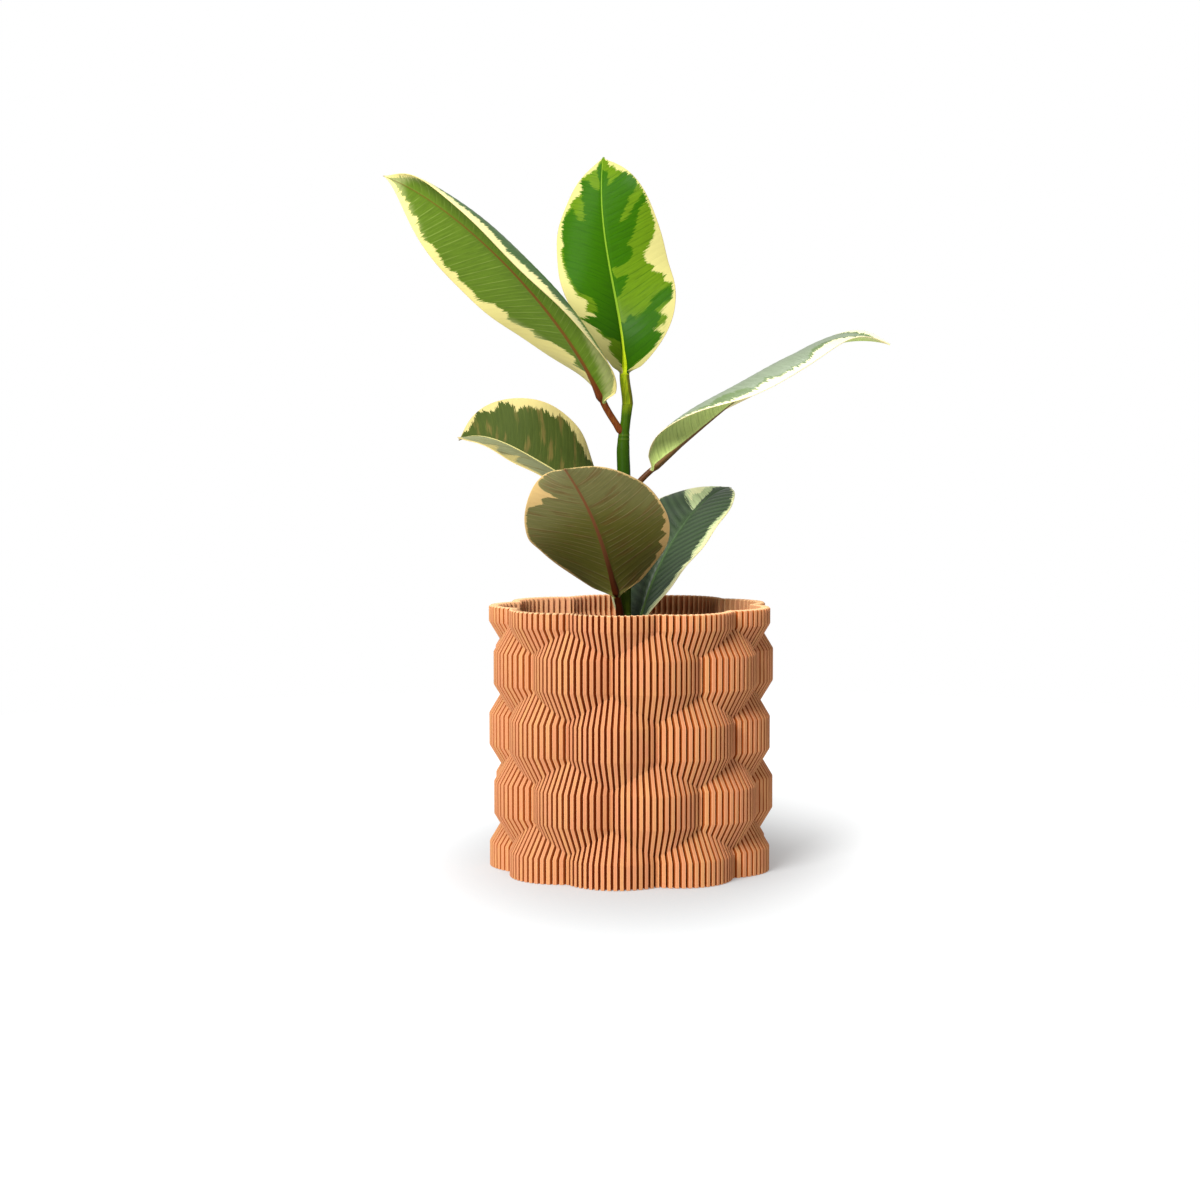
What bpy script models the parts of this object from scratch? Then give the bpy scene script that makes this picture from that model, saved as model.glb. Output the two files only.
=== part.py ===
"""Potted rubber plant: a ribbed planter, its soil, one stem and six variegated leaves.

Metres, +Z up. The origin is the centre of the pot's underside, and -Y is the front.
Each leaf grows as one piece with its stalk and midrib, and sits on the stem with a hair's gap.
"""

import math
from dataclasses import dataclass

import bpy
import numpy as np

# Clearance that touching pieces keep between their meshes
SEAT_GAP = 0.00035

# Planter: five rows of nine lobes, each row turned half a lobe against the one below
POT_RADIUS = 0.0750
POT_HEIGHT = 0.1379
LOBES = 9
LOBE_DEPTH = 0.0082
LOBE_FULLNESS = 0.87
LOBE_START = math.radians(-8.6)
ROWS = 5
BASE_BAND = 0.0127
RIM_BAND = 0.0083
ROW_PITCH = 0.0339
ROW_FLAT = 0.0168
FIRST_ROW_MIDDLE = 0.03875
CHAMFER_SLOPE = 0.6

# Its wall: upright ribs outside, a plain skin inside
RIBS = 144
RIB_DEPTH = 0.0030
WALL = 0.0022
FLOOR = 0.0040
OUTER_COLUMNS = 2 * RIBS
INNER_COLUMNS = 8 * LOBES

# Soil
SOIL_TOP = 0.1080
SOIL_MOUND = 0.0015
SOIL_SHOULDER = 0.55
HOLE_FLOOR = 0.0580

# Stem: (x, y, z) up its middle, and its radius at those heights
STEM_PATH = (
    (-0.0036, 0.0000, 0.0583),
    (-0.0036, 0.0000, 0.1000),
    (-0.0036, 0.0000, 0.1400),
    (-0.0037, 0.0000, 0.1750),
    (-0.0039, 0.0000, 0.2080),
    (-0.0042, 0.0000, 0.2200),
    (-0.0037, -0.0002, 0.2280),
    (-0.0028, -0.0006, 0.2350),
    (-0.0019, -0.0010, 0.2430),
)
STEM_RADII = (0.0036, 0.0036, 0.0035, 0.0035, 0.0035, 0.0034, 0.0028, 0.0026, 0.0029)
STEM_SIDES = 12
STEM_RINGS = 24

# Leaves
BLADE = 0.00070
BLADE_STATIONS = 18
LAST_STATION = 0.985
STALK_RINGS = 3
TIP_POWER = 1.45
TIP_BLEND = 2.5
NARROWEST = 0.00040
WIDEST_RIDGE_SHARE = 0.35
BLEND_LENGTH = 0.03
RIDGE_SHARES = (0.0, 0.14, 1.0)
RIDGE_HEIGHT = (0.0011, 0.0002)
RIDGE_HALF_WIDTH = (0.0012, 0.0006)
EDGE_WAVE = 0.0005
EDGE_WAVES = 3.5


@dataclass
class Leaf:
    """One leaf. The midrib is a Bezier curve from the blade's base to its tip.

    Angles are in degrees, and a triple is read at the base, the middle and the tip. The upper side
    faces (azimuth, rise): azimuth 0 is the front, and grows towards +X. Right and left are seen
    from the upper side with the tip up. A half blade leaves the midrib lifted above the flat, and
    bends on by its curl before it reaches the margin. Half widths are left, right.
    """

    midrib: tuple
    azimuth: tuple
    rise: tuple
    half_width: tuple
    widest: float
    fullness: float
    tip_taper: float
    left_lift: tuple
    left_curl: tuple
    right_lift: tuple
    right_curl: tuple
    joint_height: float
    stalk_radius: tuple = (0.0018, 0.0015)
    stalk_rise: float = 45.0
    columns: int = 4


LEAVES = {
    "leaf_top": Leaf(
        midrib=((-0.0035, -0.0027, 0.2586), (-0.0035, -0.0039, 0.2935),
                (-0.0199, 0.0127, 0.3302), (-0.0150, 0.0483, 0.3769)),
        azimuth=(6, 15, -24), rise=(9, 18, 27),
        half_width=(0.0281, 0.0333), widest=0.441, fullness=0.98, tip_taper=15.0,
        left_lift=(43, 12, 7), left_curl=(27, -54, -6),
        right_lift=(48, 8, 19), right_curl=(30, -18, 14),
        joint_height=0.2430, stalk_radius=(0.0029, 0.0026), stalk_rise=90.0),
    "leaf_upper_left": Leaf(
        midrib=((-0.0143, -0.0058, 0.2437), (-0.0380, -0.0293, 0.2971),
                (-0.0945, -0.0412, 0.3477), (-0.1268, -0.0207, 0.3593)),
        azimuth=(134, 165, 155), rise=(10, 36, 13),
        half_width=(0.0300, 0.0305), widest=0.469, fullness=1.03, tip_taper=10.4,
        left_lift=(25, 22, 2), left_curl=(-34, -139, -31),
        right_lift=(31, 4, -12), right_curl=(17, -10, -22),
        joint_height=0.2260, stalk_radius=(0.0021, 0.0019), stalk_rise=58.0, columns=6),
    "leaf_right": Leaf(
        midrib=((0.0103, -0.0020, 0.2084), (0.0606, -0.0081, 0.2525),
                (0.0961, -0.0106, 0.2852), (0.1342, -0.0138, 0.2739)),
        azimuth=(-1, -2, 1), rise=(100, 96, 75),
        half_width=(0.0326, 0.0330), widest=0.513, fullness=1.35, tip_taper=9.0,
        left_lift=(50, 23, 32), left_curl=(27, -43, 4),
        right_lift=(110, 29, 50), right_curl=(-89, -99, -24),
        joint_height=0.1955, columns=6),
    "leaf_middle_left": Leaf(
        midrib=((-0.0151, 0.0029, 0.1931), (-0.0534, -0.0003, 0.2147),
                (-0.0733, 0.0067, 0.2323), (-0.0923, 0.0232, 0.2244)),
        azimuth=(2, -4, 3), rise=(67, 60, 49),
        half_width=(0.0313, 0.0316), widest=0.452, fullness=1.28, tip_taper=13.0,
        left_lift=(14, 27, 23), left_curl=(-11, 1, 9),
        right_lift=(15, 34, 34), right_curl=(-34, -6, 11),
        joint_height=0.1800),
    "leaf_front": Leaf(
        midrib=((-0.0074, -0.0098, 0.1425), (-0.0140, -0.0203, 0.1679),
                (-0.0172, -0.0561, 0.1876), (-0.0322, -0.0999, 0.2114)),
        azimuth=(180, 166, 188), rise=(18, 56, 72),
        half_width=(0.0364, 0.0360), widest=0.434, fullness=1.06, tip_taper=15.0,
        left_lift=(24, 15, 18), left_curl=(2, 3, 14),
        right_lift=(31, -3, 23), right_curl=(11, -14, 17),
        joint_height=0.1220, stalk_radius=(0.0021, 0.0019), stalk_rise=60.0),
    "leaf_lower_right": Leaf(
        midrib=((0.0044, 0.0088, 0.1261), (0.0130, 0.0213, 0.1624),
                (0.0363, 0.0338, 0.1968), (0.0550, 0.0531, 0.1981)),
        azimuth=(-40, -30, -26), rise=(25, 36, 45),
        half_width=(0.0309, 0.0309), widest=0.459, fullness=1.00, tip_taper=14.0,
        left_lift=(15, 13, 0), left_curl=(-25, -21, -23),
        right_lift=(31, 28, 23), right_curl=(10, -13, -18),
        joint_height=0.1150, stalk_radius=(0.0020, 0.0018)),
}

# Colours, as sRGB fractions
TERRACOTTA = (0.80, 0.50, 0.34)
DARK_SOIL = (0.13, 0.09, 0.06)
STEM_GREEN = (0.24, 0.42, 0.08)
YOUNG_GREEN = (0.18, 0.47, 0.08)
PALE_UNDERSIDE = (0.40, 0.56, 0.26)
GREY_GREEN = (0.38, 0.50, 0.34)
OLD_OLIVE = (0.33, 0.36, 0.20)
BLUE_GREEN = (0.20, 0.32, 0.26)
SHARP_ANGLE = math.radians(35)


def clear_scene():
    for item in list(bpy.data.objects):
        bpy.data.objects.remove(item, do_unlink=True)


def linear(channel):
    return channel / 12.92 if channel <= 0.04045 else ((channel + 0.055) / 1.055) ** 2.4


def make_material(name, colour, roughness):
    material = bpy.data.materials.new(name)
    material.use_nodes = True
    shader = material.node_tree.nodes["Principled BSDF"]
    shader.inputs["Base Color"].default_value = (*map(linear, colour), 1.0)
    shader.inputs["Roughness"].default_value = roughness
    shader.inputs["Metallic"].default_value = 0.0
    return material


def add_piece(name, points, faces, material):
    """A closed mesh as an object of its own."""
    mesh = bpy.data.meshes.new(name)
    mesh.from_pydata([tuple(map(float, point)) for point in points], [], faces)
    mesh.validate()
    mesh.shade_smooth()
    mesh.set_sharp_from_angle(angle=SHARP_ANGLE)
    mesh.materials.append(material)
    piece = bpy.data.objects.new(name, mesh)
    bpy.context.scene.collection.objects.link(piece)
    return piece


def wrap_faces(first, second, count):
    """Two triangles for each cell between two rings of points that run anticlockwise."""
    faces = []
    for i in range(count):
        j = (i + 1) % count
        faces.append((first + i, first + j, second + j))
        faces.append((first + i, second + j, second + i))
    return faces


def fan_faces(centre, ring, count, upwards):
    """Triangles from a middle point to a ring that runs anticlockwise from above."""
    faces = [(centre, ring + i, ring + (i + 1) % count) for i in range(count)]
    return faces if upwards else [face[::-1] for face in faces]


def bridge_faces(fine, fine_count, coarse, coarse_count):
    """A level ring of faces, seen from above, from a fine outer ring to a coarser inner one."""
    step = fine_count // coarse_count
    faces = []
    for i in range(coarse_count):
        here = coarse + i
        following = coarse + (i + 1) % coarse_count
        for k in range(step):
            a = fine + (i * step + k) % fine_count
            b = fine + (i * step + k + 1) % fine_count
            faces.append((here if k < step // 2 else following, a, b))
        middle = fine + (i * step + step // 2) % fine_count
        faces.append((here, middle, following))
    return faces


def row_outline(row, angle):
    """Plan radius of a row over its lobes, with a crease between each two."""
    turn = math.pi / LOBES if row % 2 else 0.0
    swing = abs(math.cos(0.5 * LOBES * (angle - LOBE_START - turn)))
    return POT_RADIUS - LOBE_DEPTH * (1.0 - swing**LOBE_FULLNESS)


def row_flat(row):
    """Lowest and highest level of a row's upright band."""
    if row == 0:
        return 0.0, BASE_BAND
    if row == ROWS - 1:
        return POT_HEIGHT - RIM_BAND, POT_HEIGHT
    middle = FIRST_ROW_MIDDLE + (row - 1) * ROW_PITCH
    return middle - 0.5 * ROW_FLAT, middle + 0.5 * ROW_FLAT


def wall_profile(angle):
    """(radius, height) up the pot's outside at one bearing, over the tips of its ribs."""
    profile = []
    for row in range(ROWS):
        low, high = row_flat(row)
        radius = row_outline(row, angle)
        profile += [(radius, low), (radius, high)]
        if row == ROWS - 1:
            break
        above = row_outline(row + 1, angle)
        next_low = row_flat(row + 1)[0]
        waist = 0.5 * (high + next_low) + 0.5 * (radius - above) / CHAMFER_SLOPE
        profile.append((radius - CHAMFER_SLOPE * (waist - high), waist))
    return profile


def bearings(count):
    return [LOBE_START + math.tau * i / count for i in range(count)]


def polar(radius, angle, height):
    """A point at a bearing that is measured from the front towards +X."""
    return (radius * math.sin(angle), -radius * math.cos(angle), height)


def wall_rings(count, inset_of, lowest, highest):
    """Rings of points up the wall, each inset from the rib tips by inset_of(column)."""
    columns = []
    for i, angle in enumerate(bearings(count)):
        inset = inset_of(i)
        column = [(max(z, lowest), r - inset) for r, z in wall_profile(angle)]
        kept = [item for item in column if item[0] < highest]
        kept.append((highest, column[len(kept)][1]))
        columns.append([polar(r, angle, z) for z, r in kept])
    return [[column[level] for column in columns] for level in range(len(columns[0]))]


def stack(rings):
    """The rings' points in one list, and where each ring starts in it."""
    points = [point for ring in rings for point in ring]
    starts = [sum(len(ring) for ring in rings[:i]) for i in range(len(rings))]
    return points, starts


def build_pot(material):
    outer = wall_rings(OUTER_COLUMNS, lambda i: RIB_DEPTH if i % 2 else 0.0, 0.0, POT_HEIGHT)
    inner = wall_rings(INNER_COLUMNS, lambda i: RIB_DEPTH + WALL, FLOOR, POT_HEIGHT)
    points, starts = stack(outer + inner)
    faces = []
    for low, high in zip(starts[: len(outer) - 1], starts[1 : len(outer)]):
        faces += wrap_faces(low, high, OUTER_COLUMNS)
    for low, high in zip(starts[len(outer) : -1], starts[len(outer) + 1 :]):
        faces += [face[::-1] for face in wrap_faces(low, high, INNER_COLUMNS)]
    faces += bridge_faces(starts[len(outer) - 1], OUTER_COLUMNS, starts[-1], INNER_COLUMNS)
    under = len(points)
    points += [(0.0, 0.0, 0.0), (0.0, 0.0, FLOOR)]
    faces += fan_faces(under, starts[0], OUTER_COLUMNS, upwards=False)
    faces += fan_faces(under + 1, starts[len(outer)], INNER_COLUMNS, upwards=True)
    add_piece("pot", points, faces, material)


def circle(centre, radius, count):
    x, y, z = centre
    turns = [math.tau * i / count for i in range(count)]
    return [(x + radius * math.sin(t), y - radius * math.cos(t), z) for t in turns]


def build_soil(material):
    """The mix fills the pot to below its rim, with a plain hole for the stem."""
    inset = RIB_DEPTH + WALL + SEAT_GAP
    side = wall_rings(INNER_COLUMNS, lambda i: inset, FLOOR + SEAT_GAP, SOIL_TOP)
    middle = STEM_PATH[0][:2]
    hole = STEM_RADII[0] + SEAT_GAP
    shoulder = []
    for x, y, z in side[-1]:
        shoulder.append((x * SOIL_SHOULDER, y * SOIL_SHOULDER, z + SOIL_MOUND))
    mouth = circle((*middle, SOIL_TOP + SOIL_MOUND), hole, STEM_SIDES)
    bottom = circle((*middle, HOLE_FLOOR), hole, STEM_SIDES)
    points, starts = stack(side + [shoulder, mouth, bottom])
    faces = []
    for low, high in zip(starts[: len(side)], starts[1 : len(side) + 1]):
        faces += wrap_faces(low, high, INNER_COLUMNS)
    faces += bridge_faces(starts[-3], INNER_COLUMNS, starts[-2], STEM_SIDES)
    faces += wrap_faces(starts[-2], starts[-1], STEM_SIDES)
    under = len(points)
    points += [(0.0, 0.0, FLOOR + SEAT_GAP), (*middle, HOLE_FLOOR)]
    faces += fan_faces(under, starts[0], INNER_COLUMNS, upwards=False)
    faces += fan_faces(under + 1, starts[-1], STEM_SIDES, upwards=True)
    add_piece("soil", points, faces, material)


def stem_at(height):
    """The stem's middle and radius at a height, on smooth curves through its named points."""
    heights = [point[2] for point in STEM_PATH]
    slopes_x = np.gradient([point[0] for point in STEM_PATH], heights)
    slopes_y = np.gradient([point[1] for point in STEM_PATH], heights)
    i = min(max(np.searchsorted(heights, height) - 1, 0), len(heights) - 2)
    span = heights[i + 1] - heights[i]
    t = (height - heights[i]) / span
    blend = (1 - t) ** 2 * (1 + 2 * t), t**2 * (3 - 2 * t)
    lean = t * (1 - t) ** 2 * span, t**2 * (t - 1) * span
    x = blend[0] * STEM_PATH[i][0] + blend[1] * STEM_PATH[i + 1][0]
    x += lean[0] * slopes_x[i] + lean[1] * slopes_x[i + 1]
    y = blend[0] * STEM_PATH[i][1] + blend[1] * STEM_PATH[i + 1][1]
    y += lean[0] * slopes_y[i] + lean[1] * slopes_y[i + 1]
    radius = np.interp(height, heights, STEM_RADII)
    return np.array((x, y, height)), float(radius)


def build_stem(material):
    rings = []
    for height in np.linspace(STEM_PATH[0][2], STEM_PATH[-1][2], STEM_RINGS):
        centre, radius = stem_at(height)
        rings.append(circle(centre, radius, STEM_SIDES))
    points, starts = stack(rings)
    faces = []
    for low, high in zip(starts[:-1], starts[1:]):
        faces += wrap_faces(low, high, STEM_SIDES)
    ends = len(points)
    points += [STEM_PATH[0], STEM_PATH[-1]]
    faces += fan_faces(ends, starts[0], STEM_SIDES, upwards=False)
    faces += fan_faces(ends + 1, starts[-1], STEM_SIDES, upwards=True)
    add_piece("stem", points, faces, material)


def unit(vector):
    return vector / np.linalg.norm(vector)


def bezier(handles, t):
    a, b, c, d = (np.array(handle) for handle in handles)
    return (1 - t) ** 3 * a + 3 * (1 - t) ** 2 * t * b + 3 * (1 - t) * t**2 * c + t**3 * d


def bezier_slope(handles, t):
    a, b, c, d = (np.array(handle) for handle in handles)
    return (1 - t) ** 2 * (b - a) + 2 * (1 - t) * t * (c - b) + t**2 * (d - c)


def along(triple, u):
    """A value given at base, middle and tip, read at u on a parabola."""
    base, middle, tip = triple
    return base * (1 - u) * (1 - 2 * u) + middle * 4 * u * (1 - u) + tip * u * (2 * u - 1)


def half_profile(leaf, u):
    """The blade's half width at u, as a share of its widest: a full oval run into a drip tip."""
    if u <= 0.0:
        return 0.0
    m, k = leaf.widest, leaf.fullness
    oval = (u / m) ** (k * m) * ((1 - u) / (1 - m)) ** (k * (1 - m))
    tip = leaf.tip_taper * (1 - u) ** TIP_POWER
    return (oval**-TIP_BLEND + tip**-TIP_BLEND) ** (-1 / TIP_BLEND)


def blade_frame(leaf, u, t):
    """Midrib point, its direction, the right-hand side and the upper side's normal."""
    azimuth = math.radians(along(leaf.azimuth, u))
    rise = math.radians(along(leaf.rise, u))
    level = math.cos(rise)
    faces = np.array((level * math.sin(azimuth), -level * math.cos(azimuth), math.sin(rise)))
    forward = unit(bezier_slope(leaf.midrib, t))
    right = unit(np.cross(forward, faces))
    return bezier(leaf.midrib, t), forward, right, np.cross(right, forward)


def half_point(width, lift, curl, share):
    """Across and up from the midrib to a share of the half blade, and the bend reached there."""
    if abs(curl) < 1e-4:
        return width * share * math.cos(lift), width * share * math.sin(lift), lift
    bend = lift + curl * share
    across = width * (math.sin(bend) - math.sin(lift)) / curl
    up = width * (math.cos(lift) - math.cos(bend)) / curl
    return across, up, bend


def even_stations(leaf):
    """(share of length, Bezier parameter) of each station, closer together at both ends."""
    fine = np.linspace(0.0, 1.0, 201)
    path = np.array([bezier(leaf.midrib, t) for t in fine])
    run = np.concatenate([[0.0], np.cumsum(np.linalg.norm(np.diff(path, axis=0), axis=1))])
    shares = LAST_STATION * (0.5 - 0.5 * np.cos(np.linspace(0.0, math.pi, BLADE_STATIONS)))
    return [(u, float(np.interp(u * run[-1], run, fine))) for u in shares]


def column_shares(columns, width, rib):
    """Shares of the half width at which a section has points, the first at the ridge's edge."""
    edge = min(rib / width, WIDEST_RIDGE_SHARE)
    return [edge + (1 - edge) * i / (columns - 1) for i in range(columns)]


def blade_ring(leaf, u, t):
    """One closed section of the blade: upper face from left to right, then the lower one back."""
    middle, forward, right, normal = blade_frame(leaf, u, t)
    stalk = leaf.stalk_radius[1]
    rib = np.interp(u, RIDGE_SHARES, (stalk, *RIDGE_HALF_WIDTH))
    ridge = np.interp(u, RIDGE_SHARES, (2 * stalk - BLADE, *RIDGE_HEIGHT))
    halves = []
    for side, lift, curl in ((0, leaf.left_lift, leaf.left_curl), (1, leaf.right_lift, leaf.right_curl)):
        sign = 2 * side - 1
        width = max(leaf.half_width[side] * half_profile(leaf, u), NARROWEST)
        lifted, curled = math.radians(along(lift, u)), math.radians(along(curl, u))
        half = []
        for share in column_shares(leaf.columns, width, rib):
            across, up, bend = half_point(width, lifted, curled, share)
            skin = -math.sin(bend) * sign * right + math.cos(bend) * normal
            wave = EDGE_WAVE * share**2 * math.sin(math.tau * EDGE_WAVES * u + side)
            point = middle + sign * across * right + up * normal + wave * skin
            half.append((point + 0.5 * BLADE * skin, point - 0.5 * BLADE * skin))
        halves.append(half)
    centre = (middle + 0.5 * BLADE * normal, middle - (0.5 * BLADE + ridge) * normal)
    row = halves[0][::-1] + [centre] + halves[1]
    return [pair[0] for pair in row] + [pair[1] for pair in row[::-1]]


def round_ring(middle, right, normal, radius, count):
    """A round section whose points match the blade's: they start beside the left margin."""
    ring = []
    for i in range(count):
        turn = math.pi * (1 - (2 * i + 1) / count)
        ring.append(middle + radius * (math.cos(turn) * right + math.sin(turn) * normal))
    return ring


def on_stem(points, direction, height):
    """The points moved back along the stalk until they lie on the stem, but for the seat gap."""
    centre, radius = stem_at(height)
    reach = radius + SEAT_GAP
    seated = []
    for point in points:
        a = direction[0] ** 2 + direction[1] ** 2
        b = np.dot(point[:2] - centre[:2], direction[:2])
        c = np.sum((point[:2] - centre[:2]) ** 2) - reach**2
        step = (-b + math.sqrt(max(b * b - a * c, 0.0))) / a
        seated.append(point + step * direction)
    return seated


def stalk_rings(leaf, count):
    """Sections from the stem to the blade's base, and the middle of the seat."""
    base, forward, right, normal = blade_frame(leaf, 0.0, 0.0)
    centre, radius = stem_at(leaf.joint_height)
    at_top = leaf.stalk_rise == 90.0
    away = unit(np.array((*(base[:2] - centre[:2]), 0.0)))
    rise = math.radians(leaf.stalk_rise)
    start = math.cos(rise) * away + np.array((0.0, 0.0, math.sin(rise)))
    seat = centre + (np.array((0.0, 0.0, SEAT_GAP)) if at_top else (radius + SEAT_GAP) * away)
    reach = np.linalg.norm(base - seat) / 3
    route = (seat, seat + reach * start, base - reach * forward, base)
    rings = []
    for i in range(STALK_RINGS):
        t = i / STALK_RINGS
        direction = unit(bezier_slope(route, t))
        side = unit(np.cross(direction, normal))
        thick = leaf.stalk_radius[0] + t * (leaf.stalk_radius[1] - leaf.stalk_radius[0])
        upper = np.cross(side, direction)
        rings.append(round_ring(bezier(route, t), side, upper, thick, count))
    if not at_top:
        rings[0] = on_stem(rings[0], start, leaf.joint_height)
    return rings, seat


def smooth_step(value):
    value = min(max(value, 0.0), 1.0)
    return value * value * (3 - 2 * value)


def build_leaf(name, leaf, material):
    """One loft from the seat on the stem, along the stalk and the blade, to the drip tip."""
    count = 2 * (2 * leaf.columns + 1)
    rings, seat = stalk_rings(leaf, count)
    for u, t in even_stations(leaf):
        middle, _, right, normal = blade_frame(leaf, u, t)
        round_one = round_ring(middle, right, normal, leaf.stalk_radius[1], count)
        share = smooth_step(u / BLEND_LENGTH)
        flat_one = blade_ring(leaf, u, t)
        rings.append([(1 - share) * a + share * b for a, b in zip(round_one, flat_one)])
    points, starts = stack(rings)
    faces = []
    for low, high in zip(starts[:-1], starts[1:]):
        faces += loft_faces(low, high, count)
    ends = len(points)
    points += [seat, np.mean(rings[-1], axis=0)]
    faces += fan_faces(ends, starts[0], count, upwards=False)
    faces += fan_faces(ends + 1, starts[-1], count, upwards=True)
    add_piece(name, points, faces, material)


def loft_faces(low, high, count):
    """Triangles between two sections, split along the same diagonal on the upper and lower face."""
    row = count // 2
    faces = []
    for i in range(count):
        j = (i + 1) % count
        if i < row:
            faces.append((low + i, low + j, high + j))
            faces.append((low + i, high + j, high + i))
        else:
            faces.append((low + i, low + j, high + i))
            faces.append((high + i, low + j, high + j))
    return faces


def main():
    clear_scene()
    build_pot(make_material("terracotta", TERRACOTTA, 0.75))
    build_soil(make_material("potting_mix", DARK_SOIL, 0.95))
    build_stem(make_material("green_stem", STEM_GREEN, 0.45))
    finishes = {
        "leaf_top": (YOUNG_GREEN, 0.30),
        "leaf_upper_left": (PALE_UNDERSIDE, 0.45),
        "leaf_right": (GREY_GREEN, 0.40),
        "leaf_middle_left": (OLD_OLIVE, 0.40),
        "leaf_front": (OLD_OLIVE, 0.50),
        "leaf_lower_right": (BLUE_GREEN, 0.35),
    }
    for name, leaf in LEAVES.items():
        colour, roughness = finishes[name]
        build_leaf(name, leaf, make_material(name, colour, roughness))


main()
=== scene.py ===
"""Potted rubber plant: a ribbed planter with its soil, stem and six variegated leaves.

Metres, +Z up, the front towards -Y. Lengths that end in _MM, and the attributes and formulas of
the leaf patterns, are in millimetres.
"""

import math
from dataclasses import dataclass
from functools import partialmethod

import bpy
import numpy as np
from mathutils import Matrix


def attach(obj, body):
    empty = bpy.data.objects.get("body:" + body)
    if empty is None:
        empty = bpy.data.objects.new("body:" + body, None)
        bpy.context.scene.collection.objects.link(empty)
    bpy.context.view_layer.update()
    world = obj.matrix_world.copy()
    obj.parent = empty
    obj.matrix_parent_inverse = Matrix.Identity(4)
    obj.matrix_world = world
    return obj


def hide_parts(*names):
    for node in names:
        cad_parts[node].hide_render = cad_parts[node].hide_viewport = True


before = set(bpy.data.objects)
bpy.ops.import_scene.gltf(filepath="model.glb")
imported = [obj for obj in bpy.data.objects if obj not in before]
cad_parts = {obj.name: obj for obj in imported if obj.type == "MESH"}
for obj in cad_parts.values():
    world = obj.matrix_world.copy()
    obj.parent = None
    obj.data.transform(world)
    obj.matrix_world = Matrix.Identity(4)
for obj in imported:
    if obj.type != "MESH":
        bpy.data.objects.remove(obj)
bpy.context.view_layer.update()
BODY = "root"

# Planter: five rows of nine lobes, each row turned half a lobe against the one below. These are the
# named inputs of its wall, and below them what only its mesh needs
ROWS = 5
PLANTER = {
    "Radius": 0.0750,
    "Height": 0.1379,
    "Lobes": 9.0,
    "Lobe Depth": 0.0082,
    "Lobe Fullness": 0.87,
    "First Lobe": math.radians(-8.6),
    "Base Band": 0.0127,
    "Rim Band": 0.0083,
    "Row Pitch": 0.0339,
    "Row Flat": 0.0168,
    "First Row Middle": 0.03875,
    "Chamfer Slope": 0.6,
    "Ribs": 144.0,
    "Rib Depth": 0.0030,
    "Rib Share": 0.62,
    "Rib Flank": 0.05,
    "Rib Crown": 0.0005,
    "Wall": 0.0022,
}
COLUMNS_PER_RIB = 10
COLUMNS = int(PLANTER["Ribs"]) * COLUMNS_PER_RIB
FLOOR = 0.0040
BEND_ROUNDING = 0.00025
RIM_ROUNDING = 0.0007
# Share of painted highlight on the rib bevels and the inner ribs; the rim top gets it in full
EDGE_HIGHLIGHT = 0.35
# Share of painted shade in the inner wall's recesses
INNER_RECESS_SHADE = 0.7

# Soil
SOIL_TOP = 0.1080
SOIL_MOUND = 0.0015
SOIL_BOTTOM = 0.1000
SOIL_RINGS = 18
SOIL_GAP = 0.0001
SOIL_ROUGHNESS = 0.005
SOIL_STREWN_TO = 0.965
# kind: how many on a square metre, smallest and largest, and how flat
SOIL_STREWN = {"chip": (90000.0, 0.0009, 0.0032, 0.45), "grit": (9000.0, 0.0008, 0.0018, 0.8)}

# Stem: (x, y, z) up its middle, and its radius at those heights
STEM_PATH = (
    (-0.0036, 0.0000, 0.0583),
    (-0.0036, 0.0000, 0.1000),
    (-0.0036, 0.0000, 0.1400),
    (-0.0037, 0.0000, 0.1750),
    (-0.0039, 0.0000, 0.2080),
    (-0.0042, 0.0000, 0.2200),
    (-0.0037, -0.0002, 0.2280),
    (-0.0028, -0.0006, 0.2350),
    (-0.0019, -0.0010, 0.2430),
)
STEM_RADII = (0.0036, 0.0036, 0.0035, 0.0035, 0.0035, 0.0034, 0.0028, 0.0026, 0.0029)
STEM_SIDES = 40
STEM_RINGS = 400
SCAR_HEIGHT = 0.00014
SCAR_WIDTH = 0.0007
SHEATH_SCAR_DROP = 0.0021
OLD_SCARS = (0.1330, 0.1465, 0.1640)

# Blades
BLADE = 0.00070
MARGIN_THINNING = 0.45
BLADE_STATIONS = 180
HALF_COLUMNS = 30
MARGIN_CROWDING = 1.25
LAST_STATION = 0.998
STALK_RINGS = 36
STALK_ROOTING = 0.35
STALK_FOOT = 0.6
STALK_FOOT_MM = 3.0
COLLAR_SWELL = 0.12
COLLAR_PLACE_MM = 3.6
COLLAR_WIDTH_MM = 2.0
TIP_POWER = 1.45
TIP_BLEND = 2.5
NARROWEST = 0.00025
BLEND_LENGTH = 0.03
RIDGE_SHARES = (0.0, 0.14, 1.0)
RIDGE_HEIGHT = (0.0011, 0.0002)
RIDGE_HALF_WIDTH = (0.0012, 0.0006)
GROOVE_DEPTH = 0.00025
MARGIN_EDGE = 0.00012
RIB_LINE_SHARES = (0.0, 0.10, 0.5, 1.0)
RIB_LINE_MM = (1.0, 0.55, 0.25)
EDGE_WAVE = 0.0005
EDGE_WAVES = 3.5
VEIN_SPACING_MM = 4.6
VEIN_SLANT = 0.42
VEIN_SWEEP = 0.006
VEIN_RELIEF = 0.00005
VEIN_FADE_MM = 6.0
MARGIN_FADE = 0.12
OUTLINE_STEPS = 6


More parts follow.
